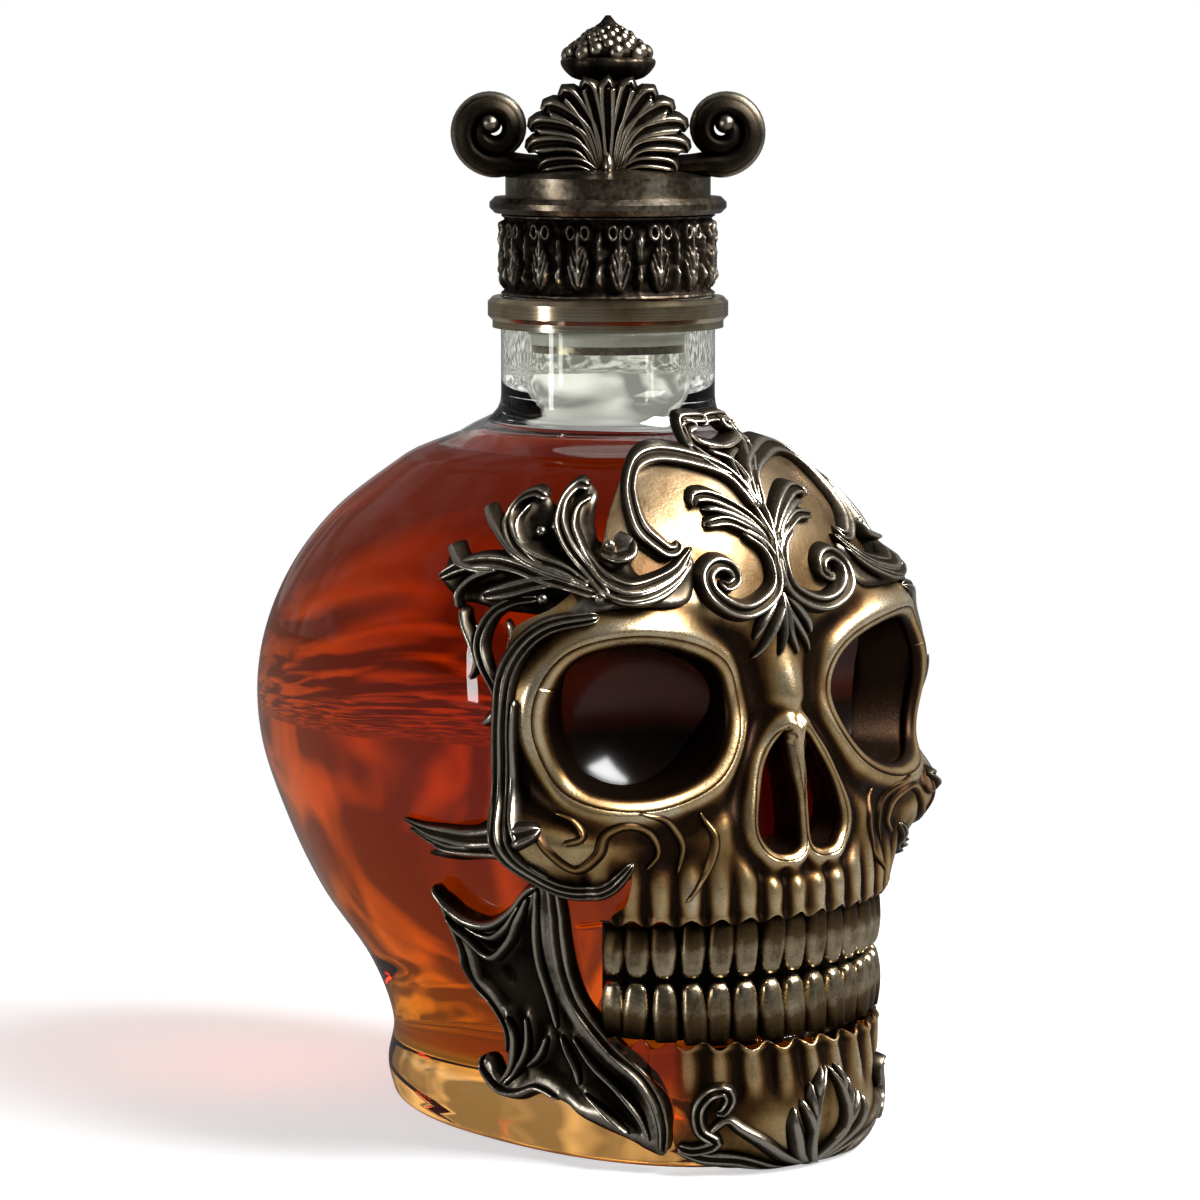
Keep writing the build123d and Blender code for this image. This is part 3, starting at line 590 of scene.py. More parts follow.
def spiral(centre, start, turns, end_radius, steps=14):
    """Points that wind inwards from a start round a centre; a negative turn winds clockwise."""
    centre, start = np.asarray(centre, float), np.asarray(start, float)
    radius = np.linalg.norm(start - centre)
    angle = math.atan2(*(start - centre)[::-1])
    t = np.linspace(0, 1, steps)
    r = radius + (end_radius - radius) * t**0.8
    a = angle + 2 * math.pi * turns * t
    return centre + np.stack([r * np.cos(a), r * np.sin(a)], -1)


def circle(count):
    """Angles all the way round."""
    return np.linspace(0, 2 * math.pi, count, endpoint=False)


def oval(turns, half_x, half_y, height):
    """A level ring of points."""
    return np.stack([half_x * np.cos(turns), half_y * np.sin(turns), np.full(len(turns), height)], -1)


def ball_shape(radius):
    """A small cast pearl: its points, its faces and their wear."""
    rings, turns = 8, circle(12)
    polar = math.pi * np.arange(1, rings) / rings
    loops = [oval(turns, half, half, z) for half, z in zip(radius * np.sin(polar), radius * np.cos(polar))]
    vertices, faces = loft_rings(loops)
    return vertices, faces, np.full(len(vertices), 0.9)


def cast_patch(field, wall, openings=()):
    """A cast sheet of a field's relief on the head, cut clean at its outline and its openings.

    Returns its points, its faces and their wear, and leaves the places of its front in field.flat.
    """
    outline, cell = field.outline, plate_cell
    low, high = outline.min(0) - cell, outline.max(0) + cell
    along = np.arange(low[0], high[0] + cell, cell)
    up = np.arange(low[1], high[1] + cell, cell)
    grid = np.stack(np.meshgrid(along, up), -1)
    edge = signed_distance(grid, outline)
    for opening in openings:
        edge = np.maximum(edge, -signed_distance(grid, opening))
    slope_up, slope_along = np.gradient(edge, cell)
    near = (edge > 0) & (edge < 1.5 * cell)
    pull = np.where(near, edge, 0.0)
    grid = grid - np.stack([pull * slope_along, pull * slope_up], -1)
    keep = edge < 1.45 * cell
    corner = keep[:-1, :-1] & keep[1:, :-1] & keep[:-1, 1:] & keep[1:, 1:]
    inner = (edge[:-1, :-1] < 0) | (edge[1:, :-1] < 0) | (edge[:-1, 1:] < 0) | (edge[1:, 1:] < 0)
    rows, columns = np.nonzero(corner & inner)
    index = np.arange(grid.shape[0] * grid.shape[1]).reshape(grid.shape[:2])
    faces = np.stack([index[rows, columns], index[rows, columns + 1],
                      index[rows + 1, columns + 1], index[rows + 1, columns]], -1)
    used, faces = np.unique(faces, return_inverse=True)
    faces = faces.reshape(-1, 4)
    field.flat = grid.reshape(-1, 2)[used]
    front, back = [field.place(*field.flat.T, rise) for rise in (0, -wall)]
    count = len(field.flat)
    pairs = np.concatenate([faces[:, [k, (k + 1) % 4]] for k in range(4)])
    keys = {(int(a), int(b)) for a, b in pairs}
    border = [(a, b) for a, b in keys if (b, a) not in keys]
    all_faces = faces.tolist() + (faces[:, ::-1] + count).tolist()
    all_faces += [(b, a, a + count, b + count) for a, b in border]
    return np.vstack([front, back]), all_faces, np.tile(field.wear_at(*field.flat.T), 2)


# Outlines of the openings and the cast sheets, traced on the skull's near side in the photographed view
eye_trace = [(548, 690), (545, 740), (575, 790), (650, 805), (715, 775), (737, 715), (720, 665),
             (640, 640), (575, 655)]
nose_trace = [(788, 727), (770, 752), (757, 795), (753, 835), (770, 856), (795, 850), (800, 812),
              (797, 765)]
plate_trace = [(775, 462), (731, 447), (680, 452), (640, 478), (618, 510), (600, 560), (560, 605),
               (520, 628), (508, 665), (507, 720), (507, 780), (512, 830), (530, 868), (560, 890),
               (600, 893), (634, 872), (632, 905), (612, 936)]
mandible_trace = [(612, 1014), (640, 1062), (668, 1082), (690, 1108), (704, 1150)]
strap_trace = [(430, 885), (443, 897), (464, 913), (491, 922), (512, 911), (529, 890), (541, 884),
               (555, 887), (559, 904), (560, 942), (567, 975), (579, 1006), (598, 1030), (619, 1052),
               (650, 1075), (672, 1102), (685, 1128), (688, 1159), (662, 1154), (643, 1145),
               (603, 1130), (579, 1118), (562, 1102), (541, 1091), (522, 1097), (505, 1095),
               (491, 1083), (482, 1066), (484, 1054), (491, 1057), (500, 1073), (507, 1054),
               (508, 1030), (494, 1006), (476, 985), (467, 963), (464, 950), (448, 916)]
spur_trace = [(400, 839), (428, 841), (458, 833), (486, 820), (506, 806), (516, 818), (522, 840),
              (534, 860), (552, 874), (578, 884), (604, 884), (630, 872), (640, 876), (625, 890),
              (600, 897), (573, 896), (545, 891), (517, 878), (493, 864), (465, 865), (440, 864),
              (411, 857), (425, 851), (408, 845)]
temple_trace = [(437, 580), (450, 600), (470, 606), (500, 614), (560, 617), (620, 608), (690, 600),
                (697, 556), (680, 562), (650, 580), (632, 560), (640, 540), (620, 530), (606, 545),
                (600, 520), (606, 495), (590, 482), (570, 490), (560, 510), (545, 495), (525, 495),
                (512, 515), (500, 515), (487, 507), (492, 530), (510, 555), (490, 552), (465, 555),
                (450, 545)]
crest_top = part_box("crest_knot")[1].z / MM - 1.0
crest_ease = 7.0             # heights within this of the crest's top are drawn together
fullness = 1.22              # how much fleshier the scrolls are than their drawn routes

# Routes of the cast scrolls: points traced on the view, half widths in mm, rise and ridges
brow_routes = [
    ([(775, 505), (756, 469), (731, 453), (699, 450), (668, 461), (649, 482), (644, 507),
     (649, 528), (662, 543), (673, 550), (683, 547), (685, 539)],
     [1.9, 2.0, 2.0, 1.9, 1.8, 1.5, 0.8], 3.2, 2),
]
crest_routes = [
    ([(720, 413), (716, 400), (702, 394), (688, 404), (685, 421), (695, 436), (714, 445),
     (737, 453), (754, 467), (767, 486), (775, 505)],
     [0.8, 1.5, 1.7, 1.5, 1.4, 1.1], 3.0, 2),
    ([(726, 394), (723, 405), (729, 415), (739, 421), (747, 432), (745, 442), (737, 442)],
     [1.0, 1.1, 1.1, 0.6], 3.4, 1),
    ([(731, 392), (744, 398), (751, 408), (748, 415)], [0.7, 1.2, 0.8], 3.6, 1),
    ([(754, 413), (765, 423), (767, 434), (756, 436)], [0.7, 1.2, 0.8], 3.2, 1),
    ([(754, 444), (756, 457), (765, 478), (774, 505)], [0.7, 1.0, 0.8], 2.6, 1),
    ([(765, 444), (766, 461), (771, 484), (776, 507)], [0.7, 0.9, 0.7], 2.4, 1),
    ([(775, 444), (770, 461), (769, 480), (776, 507)], [0.5, 0.8, 0.7], 2.2, 1),
]
palm_routes = [
    ([(776, 533), (765, 515), (748, 500), (732, 492), (719, 496), (716, 506)],
     [1.0, 1.3, 1.5, 1.5, 1.3, 0.9], 3.4, 2),
    ([(776, 542), (767, 526), (752, 513), (735, 506), (724, 507)], [1.0, 1.2, 1.2, 1.0, 0.7], 3.0, 1),
    ([(777, 550), (769, 536), (756, 525), (742, 518), (729, 520), (719, 523)],
     [1.0, 1.2, 1.3, 1.2, 0.8], 2.8, 2),
    ([(777, 495), (780, 512), (779, 535), (780, 562), (783, 587)], [0.6, 0.9, 1.0, 1.0, 0.7], 3.0, 1),
]
palm_volute_routes = [
    ([(754, 528), (771, 544), (779, 564), (776, 586), (761, 603), (742, 610), (723, 604),
     (708, 589), (707, 573), (719, 562), (733, 566), (736, 578), (727, 585), (722, 579)],
     [1.2, 1.7, 1.9, 2.0, 2.0, 1.8, 1.5, 1.0], 3.4, 2),
]
nasal_routes = [
    ([(785, 588), (785, 606), (778, 623), (767, 641), (755, 659)], [0.7, 1.2, 1.0, 0.4], 2.2, 1),
    ([(782, 594), (771, 610), (761, 626), (756, 640)], [0.6, 1.2, 1.1, 0.4], 2.0, 1),
    ([(785, 588), (785, 608), (785, 631), (780, 655)], [0.7, 1.1, 1.0, 0.4], 2.2, 1),
]
temple_routes = [
    ([(697, 546), (676, 570), (650, 585), (625, 590), (604, 580), (589, 562), (578, 542)],
     [0.4, 1.5, 2.1, 2.2, 1.8, 1.2], 3.0, 3),
    ([(692, 560), (668, 583), (640, 596), (617, 596), (602, 585)], [0.4, 1.3, 1.6, 1.3, 0.7], 2.2, 2),
    ([(638, 538), (635, 552), (617, 558), (602, 553)], [0.5, 1.0, 1.0, 0.5], 3.0, 1),
    ([(608, 597), (597, 578), (580, 557), (568, 537), (564, 518), (570, 497), (584, 484),
     (597, 487)], [1.0, 1.4, 1.6, 1.6, 1.4, 0.9], 3.4, 2),
    ([(604, 583), (592, 562), (583, 542), (578, 523), (584, 505), (600, 496)],
     [0.6, 0.9, 1.0, 0.9, 0.5], 2.8, 1),
    ([(592, 585), (564, 568), (541, 560), (523, 548), (513, 529), (513, 511), (523, 498),
     (538, 492), (549, 498)], [1.0, 1.4, 1.5, 1.4, 1.2, 0.8], 3.2, 2),
    ([(553, 570), (536, 557), (523, 539), (521, 520), (534, 503)], [0.6, 0.9, 0.9, 0.5], 2.6, 1),
    ([(487, 505), (499, 527), (513, 548), (533, 563), (556, 573), (592, 585)],
     [0.9, 1.3, 1.3, 1.2, 0.8], 3.0, 1),
    ([(438, 579), (457, 569), (479, 562), (502, 562), (523, 568), (553, 581), (599, 593)],
     [1.0, 1.5, 1.7, 1.7, 1.5, 1.0], 2.6, 2),
    ([(453, 543), (464, 562), (482, 570), (502, 570)], [1.1, 1.1, 0.9], 3.0, 1),
    ([(454, 610), (460, 592), (475, 578), (500, 568)], [0.6, 1.0, 1.0], 2.6, 1),
    ([(482, 597), (513, 590), (543, 583), (574, 583)], [1.2, 1.8, 1.6, 0.7], 2.2, 2),
]
curl_routes = [
    ([(538, 601), (513, 603), (492, 613), (480, 629), (475, 649), (479, 669), (490, 692),
     (494, 713)], [0.9, 1.3, 1.5, 1.4, 1.3, 0.7], 2.8, 2),
    ([(457, 608), (459, 626), (467, 648), (470, 667), (462, 683)], [1.2, 1.3, 1.1, 0.5], 2.6, 1),
    ([(494, 713), (487, 721), (477, 728)], [1.0, 1.2, 0.7], 2.4, 1),
    ([(502, 623), (511, 649), (520, 677)], [0.5, 0.8, 0.5], 1.8, 1),
]
cheek_trim_routes = [
    ([(600, 616), (548, 628), (517, 660), (507, 715), (507, 775), (513, 828), (534, 868),
     (570, 890), (612, 890), (638, 866)],
     [1.2, 1.7, 1.6, 1.6, 1.8, 2.0, 1.9, 1.6, 0.8], 2.4, 3),
    ([(520, 700), (519, 770), (524, 815), (536, 848)], [0.6, 1.1, 1.1, 0.6], 2.8, 1),
]
cheek_scroll_routes = [
    ([(543, 822), (560, 852), (585, 872), (606, 858), (612, 838), (632, 828), (654, 836),
     (662, 856), (650, 872)], [0.6, 0.9, 0.9, 0.8, 0.5], 1.1, 1),
    ([(640, 812), (668, 822), (684, 846), (680, 874)], [0.3, 0.7, 0.7, 0.3], 0.9, 1),
    ([(700, 812), (712, 838), (706, 874), (690, 902)], [0.3, 0.8, 0.7, 0.3], 0.9, 1),
    ([(560, 812), (580, 822), (590, 840), (572, 846)], [0.4, 0.7, 0.6], 1.1, 1),
]
spur_routes = [
    ([(386, 822), (420, 836), (470, 843), (520, 838), (552, 828)], [0.3, 1.6, 2.3, 2.6, 1.6], 2.4, 2),
    ([(392, 832), (440, 852), (490, 858), (530, 864), (560, 880)], [0.3, 1.2, 1.6, 1.5, 0.8], 2.0, 2),
]
strap_routes = [
    ([(555, 888), (560, 915), (563, 942), (570, 975), (583, 1006), (601, 1030), (622, 1053),
     (652, 1078), (673, 1105), (684, 1130), (688, 1155)],
     [1.2, 1.7, 1.8, 1.8, 1.8, 1.7, 1.4, 1.0], 2.8, 2),
    ([(541, 890), (540, 930), (545, 965), (556, 1000), (563, 1030)], [0.5, 1.1, 1.2, 1.0, 0.5], 2.0, 1),
    ([(430, 886), (443, 899), (464, 916), (491, 925), (512, 914), (529, 893), (541, 887)],
     [0.7, 1.2, 1.3, 1.3, 1.2, 1.0, 0.9], 2.6, 1),
    ([(450, 915), (472, 940), (494, 958), (512, 944), (525, 920), (533, 898)],
     [0.5, 0.9, 1.0, 1.0, 0.9, 0.5], 2.0, 1),
    ([(470, 926), (495, 938), (512, 928), (524, 905)], [0.4, 0.8, 0.8, 0.4], 1.6, 1),
    ([(431, 887), (448, 918), (465, 951), (476, 985), (494, 1006), (508, 1030), (507, 1054)],
     [0.5, 1.0, 1.1, 1.1, 1.0, 0.9, 0.5], 2.2, 1),
    ([(512, 1016), (519, 1035), (517, 1066), (507, 1083)], [0.5, 0.9, 0.9, 0.5], 1.8, 1),
    ([(531, 1018), (532, 1047), (521, 1071), (510, 1085)], [0.5, 0.9, 0.9, 0.5], 1.8, 1),
    ([(553, 1037), (545, 1056), (531, 1068)], [0.5, 0.9, 0.5], 1.8, 1),
    ([(567, 1035), (574, 1052), (583, 1071), (586, 1087)], [0.5, 0.9, 0.9, 0.5], 1.8, 1),
    ([(579, 1037), (600, 1066), (626, 1090), (650, 1116), (669, 1142)], [0.5, 1.0, 1.1, 1.0, 0.5],
     2.0, 1),
    ([(591, 1094), (617, 1116), (645, 1135)], [0.4, 0.9, 0.5], 1.8, 1),
    ([(484, 1055), (482, 1066), (491, 1081), (505, 1093), (522, 1095), (541, 1090), (562, 1100)],
     [0.6, 1.0, 1.1, 1.1, 1.1, 1.0, 0.7], 2.4, 1),
]
chin_scroll_routes = [
    ([(704, 1146), (726, 1150), (752, 1142), (731, 1132), (721, 1112), (728, 1096), (743, 1090),
     (753, 1100), (749, 1113), (740, 1112)],
     [1.0, 1.5, 1.3, 1.4, 1.5, 1.4, 1.1, 0.8], 2.8, 2),
    ([(735, 1140), (758, 1120), (775, 1127), (797, 1136), (820, 1149), (841, 1160)],
     [0.8, 1.0, 1.2, 1.3, 1.2, 0.8], 2.0, 1),
    ([(706, 1150), (742, 1157), (784, 1157), (815, 1163), (843, 1168)], [0.9, 1.5, 1.6, 1.5, 0.9],
     2.0, 2),
]
chin_leaf_routes = [
    ([(842, 1163), (841, 1133), (839, 1111), (836, 1088), (832, 1064)], [1.5, 1.3, 1.1, 0.9, 0.4],
     2.6, 1),
    ([(842, 1140), (833, 1112), (821, 1096)], [0.9, 1.2, 0.4], 2.2, 1),
    ([(840, 1116), (831, 1096), (823, 1080)], [0.8, 1.0, 0.4], 2.0, 1),
    ([(837, 1096), (830, 1082), (826, 1064)], [0.7, 0.9, 0.4], 1.8, 1),
    ([(843, 1164), (833, 1146), (824, 1122), (818, 1104)], [1.0, 1.5, 1.3, 0.4], 2.0, 1),
]
pearl_trace = [(543, 601), (600, 596), (543, 532), (559, 527), (613, 544)]
pearl_radius = 1.1

# The face's middle line as the photograph shows it, from the crest to the chin
middle_trace = [(746, 432), (775, 497), (779, 535), (785, 590), (790, 650), (795, 700), (801, 760),
                (801, 850), (822, 945), (832, 1062), (842, 1160)]
middle_line = on_head(middle_trace)
middle_order = np.argsort(middle_line[:, 1])
middle_fade = 30.0


def face_route(traced):
    """A route on the face, drawn straight about its middle line."""
    route = on_head(traced)
    shift = np.interp(route[:, 1], middle_line[middle_order, 1], middle_line[middle_order, 0])
    route[:, 0] -= shift * np.exp(-(route[:, 0] / middle_fade)**2)
    return route


def outline_of(points, spacing=0.8):
    """A smooth closed outline, anticlockwise seen from the front."""
    outline = smooth_route(points, spacing, closed=True)
    x, z = outline.T
    area = np.sum(x * np.roll(z, -1) - np.roll(x, -1) * z)
    return outline if area > 0 else outline[::-1]


(eye_right, eye_left), (nose_right, nose_left) = [
    [outline_of(side(face_route(traced))) for side in (np.asarray, mirrored)]
    for traced in (eye_trace, nose_trace)]


def arch_point(angle, inset=0.0):
    return np.array([(arch_half_width - inset) * math.sin(angle),
                     arch_centre_y - (arch_depth - inset) * math.cos(angle)])


def tooth_places():
    """Where the teeth of one side stand on the arch: place, the way they face, and width."""
    angles = np.linspace(0, math.pi / 2, 600)
    lengths = run_length(np.array([arch_point(a) for a in angles]))
    pitch = lengths[-1] / (teeth_per_side + 0.4)
    places = []
    for tooth in range(teeth_per_side):
        angle = np.interp((tooth + 0.5) * pitch, lengths, angles)
        facing = np.array([math.sin(angle) / arch_half_width, -math.cos(angle) / arch_depth])
        places.append((arch_point(angle), facing / np.linalg.norm(facing), pitch))
    return places


def along_of(x, y, height):
    """The distance along the head's skin of a place."""
    return math.atan2(x, sections_at(height)[2] - y) * arc_radius


tooth_list = tooth_places()
upper_roots, lower_roots = [[along_of(*place, gum) for place, facing, pitch in tooth_list]
                            for gum in (gum_top, gum_bottom)]


def gum_line(roots, height, depth, reach):
    """Points along a scalloped gum, from one side's last tooth to the other's."""
    edges = [0.0] + [(a + b) / 2 for a, b in zip(roots, roots[1:])] + [reach]
    right = []
    for low, high in zip(edges, edges[1:]):
        right += [((low + high) / 2, height + depth), (high, height - depth)]
    return [(-a, z) for a, z in right[::-1]] + [(0.0, height - depth)] + right


plate_side = face_route(plate_trace)
plate_bottom = gum_line(upper_roots, gum_top + 0.6, 0.9, abs(plate_side[-1][0]))
plate_edge = outline_of(np.vstack([(0.0, plate_side[0][1]), plate_side[1:-1], plate_bottom[1:-1],
                                   mirrored(plate_side[1:-1])[::-1]]), 1.0)

# Carved forms beside the middle of each plate: rise, distance along and its spread, height and its spread
face_forms = [(-1.6, 11, 4, 98, 8), (-2.4, 30, 8, 66.5, 5), (1.2, 17, 4.5, 72, 8)]
jaw_forms = [(1.6, 9, 7, 9.5, 6), (-1.0, 22, 6, 16, 6)]


def carve(lift, side, height, forms, roots, window, root_rise, root_spread, dip, dip_shift):
    """A plate's lift with its carved forms, the roots of its teeth and the dips between them."""
    for rise, along, spread_along, up, spread_up in forms:
        lift = lift + rise * bump(side, along, spread_along) * bump(height, up, spread_up)
    for number, root in enumerate(roots):
        lift = lift + (root_rise - 0.05 * number) * bump(side, root, root_spread) * window
        lift = lift - dip * bump(side, root + dip_shift, 0.9) * window
    return lift


def face_sculpture(along, height):
    """The relief of the face on its plate: rims, nose, cheek hollows and tooth roots."""
    lift = plate_offset(skin(along / arc_radius, height)[..., 0], height)
    place = np.stack(np.broadcast_arrays(along, height), -1)
    for eye in (eye_right, eye_left):
        rim = signed_distance(place, eye)
        lift = lift + 1.7 * bump(rim, 1.6, 2.0) - 0.9 * bump(rim, 6.5, 2.4)
    nose_gap = np.minimum(signed_distance(place, nose_right), signed_distance(place, nose_left))
    lift = lift + 1.5 * bump(nose_gap, 1.1, 1.2) - 0.7 * bump(nose_gap, 4.0, 1.6)
    lift = lift + 2.4 * bump(along, 0, 3.6) * bump(height, 95, 9) * (nose_gap > 0)
    window = smooth_step(height, 49, 54) * (1 - smooth_step(height, 56, 69))
    lift = carve(lift, np.abs(along), height, face_forms, upper_roots, window, 1.3, 1.75, 0.7, 2.6)
    return lift + 0.5 * smooth_step(-height, -54.5, -52.0)


def blurred(field, radius):
    """The field, smoothed by a soft window."""
    reach = int(3 * radius)
    window = np.exp(-(np.arange(-reach, reach + 1) / radius)**2 / 2)
    window /= window.sum()
    padded = np.pad(field, reach, mode="edge")
    padded = np.apply_along_axis(lambda line: np.convolve(line, window, "valid"), 0, padded)
    return np.apply_along_axis(lambda line: np.convolve(line, window, "valid"), 1, padded)


class Field:
    """A relief inside an outline, worked out once on a grid and read between its points."""

    def __init__(self, outline, sculpture):
        low, high = outline.min(0) - 4, outline.max(0) + 4
        self.outline, self.low = outline, low
        along = np.arange(low[0], high[0] + plate_cell, plate_cell)
        up = np.arange(low[1], high[1] + plate_cell, plate_cell)
        self.lift = sculpture(*np.meshgrid(along, up))
        fine = self.lift - blurred(self.lift, 1.2 / plate_cell)
        broad = self.lift - blurred(self.lift, 4.0 / plate_cell)
        self.wear = np.clip(0.5 + 0.9 * fine + 0.35 * broad, 0, 1)

    def read(self, field, along, height):
        column = np.clip((along - self.low[0]) / plate_cell, 0, field.shape[1] - 1.001)
        row = np.clip((height - self.low[1]) / plate_cell, 0, field.shape[0] - 1.001)
        j, i = column.astype(int), row.astype(int)
        s, t = column - j, row - i
        return ((1 - t) * ((1 - s) * field[i, j] + s * field[i, j + 1])
                + t * ((1 - s) * field[i + 1, j] + s * field[i + 1, j + 1]))

    def lift_at(self, along, height):
        return self.read(self.lift, np.asarray(along, float), np.asarray(height, float))

    def wear_at(self, along, height):
        return self.read(self.wear, np.asarray(along, float), np.asarray(height, float))

    def place(self, along, height, rise):
        """A point over the relief."""
        return head_place(along, height, self.lift_at(along, height) + rise)


face_field = Field(plate_edge, face_sculpture)

# The chin's plate: along its gum line, down the skull's left side, across the foot and up again
jaw_side = face_route(mandible_trace)
jaw_foot = [(20.0, 1.2), (8.0, 0.8), (0.0, 0.7), (-8.0, 0.8), (-20.0, 1.2)]
jaw_edge = outline_of(np.vstack([gum_line(lower_roots, gum_bottom - 0.4, -0.9, abs(jaw_side[0][0])),
                                 mirrored(jaw_side[1:]), jaw_foot, jaw_side[:0:-1]]), 1.0)


def jaw_sculpture(along, height):
    """The chin's boss, the hollows beside it and the roots of the lower teeth."""
    lift = plate_offset(skin(along / arc_radius, height)[..., 0], height) * 0.8
    window = smooth_step(height, 14, 21) * (1 - smooth_step(height, 26.5, 30))
    lift = carve(lift, np.abs(along), height, jaw_forms, lower_roots, window, 1.2, 1.6, 0.5, 2.4)
    return lift + 0.6 * smooth_step(height, 25.4, 27.0)


jaw_field = Field(jaw_edge, jaw_sculpture)


def add_opening(casting, outline, field, half_width, rise, sunk, depth, draw):
    """An opening's rolled rim, and its wall that goes down into the head, drawn in by a share."""
    loop = np.vstack([outline, outline[:2]])[::3]
    add_strand(casting, loop, [half_width] * 3, rise, 1, 0.0,
               lambda a, z, h: field.place(a, z, h - sunk), closed=True)
    centre, count, steps = outline.mean(0), len(outline), 9
    down, rings = np.linspace(0, 1, steps), []
    for shares, size, lift in ((down, 1.0, 0.3), (down[::-1], 1.05, -0.3)):
        for share in shares:
            ring = centre + (outline - centre) * (size - draw * share)
            rings.append(head_place(*ring.T, field.lift_at(*outline.T) + lift - share * depth))
    wear = np.repeat([0.55 - 0.5 * min(step / 3, 1) for step in range(steps)] + [0.1] * steps, count)
    casting.add(np.vstack(rings), ring_faces(2 * steps, count, wrapped=True), wear)


def cast_set(routes, place, casting, reach=None):
    """The straps of one ornament, gathered into a casting, and held within a reach of the middle."""
    for traced, half_widths, rise, ridges in routes:
        route = face_route(traced)
        if reach:
            route[:, 0] = reach * np.tanh(route[:, 0] / reach)
            over = np.maximum(route[:, 1] - crest_top + crest_ease, 0)
            route[:, 1] += crest_ease * (1 - np.exp(-over / crest_ease)) - over
        add_strand(casting, route, [fullness * width for width in half_widths], rise, ridges, place=place)
    return casting


def cast_sheet(material, traced, routes, swell, wall, profile):
    """A casting of a sheet inside a traced outline, which swells under the scrolls that it carries."""
    edge = outline_of(face_route(traced), 0.9)
    runs = np.vstack([smooth_route(face_route(route[0]), 1.0) for route in routes])

    def sculpture(along, height):
        place = np.stack(np.broadcast_arrays(along, height), -1)
        near = np.min([np.linalg.norm(place - run, axis=-1) for run in runs], axis=0)
        return (carrier_lift(along, height) + swell * bump(near, 0, 1.7)
                + profile(-signed_distance(place, edge), along, height))
    field, casting = Field(edge, sculpture), Casting(material)
    vertices, faces, wear = cast_patch(field, wall)
    casting.add(vertices, faces, np.clip(wear * 0.95 - 0.18, 0, 1))
    return cast_set(routes, field.place, casting)


def both(casting, name):
    """The casting on the right side and its twin on the left."""
    casting.finish(name + "_right_cast", "bottle", [name + "_right"])
    casting.twin().finish(name + "_left_cast", "bottle", [name + "_left"])


def make_face_plate(material):
    """The upper face: a cast plate with rolled rims round the eyes and the nose."""
    casting = Casting(material)
    eyes, noses = (eye_right, eye_left), (nose_right, nose_left)
    casting.add(*cast_patch(face_field, 1.0, eyes + noses))
    for outlines, sizes in ((eyes, (1.5, 1.0, 0.5, 15.0, 0.12)), (noses, (0.9, 0.8, 0.3, 9.0, 0.25))):
        for outline in outlines:
            add_opening(casting, outline, face_field, *sizes)
    scrolls = cast_set(cheek_scroll_routes, face_field.place, Casting(material))
    for part in (scrolls, scrolls.twin()):
        casting.join(part, 0.8)
    casting.finish("face_cast", "bottle", ["face_plate"], "aged_bronze")


def make_jaw_plate(material):
    """The chin's cast plate. Its sides are sheer, as the amber glass shows through there."""
    casting = Casting(material)
    casting.add(*cast_patch(jaw_field, 0.8))
    piece = casting.finish("mandible_cast", "bottle", ["mandible_plate"], "aged_bronze")
    along, height = jaw_field.flat.T
    sheer = smooth_step(np.abs(along), 21, 33) * smooth_step(height, 2, 12)
    piece.data.attributes.new("sheer", "FLOAT", "POINT").data.foreach_set("value", np.tile(sheer, 2))


def tooth_shape(way):
    """A tooth of unit size: a bowed crown that swells below the gum and narrows to its biting edge."""
    levels, around = 11, 18
    rings, wear = [], []
    c, s = np.cos(circle(around)), np.sin(circle(around))
    across = np.copysign(np.abs(c)**0.62, c)
    out = np.copysign(np.abs(s)**0.8, s)
    for level in range(levels + 1):
        share = level / levels
        close = 1 - 0.34 * max(0.0, (share - 0.86) / 0.14)**2
        width = 0.475 * (0.84 + 0.19 * math.sin(math.pi * min(share * 1.15, 1.0)) - 0.05 * share) * close
        depth = 0.62 * (0.85 + 0.25 * math.sin(math.pi * min(share * 1.1, 1))) * close
        rings.append(np.stack([out * depth, across * width, np.full(around, (share - 1) * way)], -1))
        groove = 0.25 * np.exp(-(across / 0.35)**2) * (share < 0.8)
        wear.append(0.12 + 0.78 * min(share * 1.9, 1) - groove)
    vertices, faces = loft_rings(rings)
    return vertices, faces, np.concatenate(wear + [[0.2, 0.9]])


def make_teeth(node, root, tip, material):
    """One row of sixteen teeth on the dental arch, each a little off its place."""
    casting = Casting(material)
    places, turns, sizes = [], [], []
    for number, (place, facing, pitch) in enumerate(tooth_list):
        length = abs(tip - root) * (1 - 0.22 * (number / (teeth_per_side - 1))**2)
        for side in (1, -1):
            spot = (place - facing * tooth_depth * 0.55) * np.array([side, 1])
            lean = rng.normal(size=3) * 0.035
            places.append((*spot, tip))
            turns.append((lean[0], lean[1], math.atan2(facing[1], facing[0] * side) + lean[2]))
            sizes.append((tooth_depth * (1 + lean[0]), pitch * (1 - abs(lean[1])), length))
    casting.add_repeats(tooth_shape(1 if tip > root else -1), places, turns, sizes)
    casting.finish(node + "_cast", "bottle", [node], "aged_bronze")


def ring_points(height, offset, section=None):
    """A closed ring of the glass's section, moved in or out."""
    return skin(circle(glass_points), np.full(glass_points, float(height)), offset, section)


def loft_rings(rings, caps=True):
    """A skin over rings that follow each other, with a point in the middle of each end to close it."""
    vertices, around = np.vstack(rings), len(rings[0])
    faces = ring_faces(len(rings), around)
    if caps:
        first, last = len(vertices), len(vertices) + 1
        base = first - around
        faces += [(first, (k + 1) % around, k) for k in range(around)]
        faces += [(last, base + k, base + (k + 1) % around) for k in range(around)]
        vertices = np.vstack([vertices, rings[0].mean(0), rings[-1].mean(0)])
    return vertices, faces


def neck_section(radius):
    return [np.array(v, float) for v in (radius, radius, 0, radius, 2.0)]


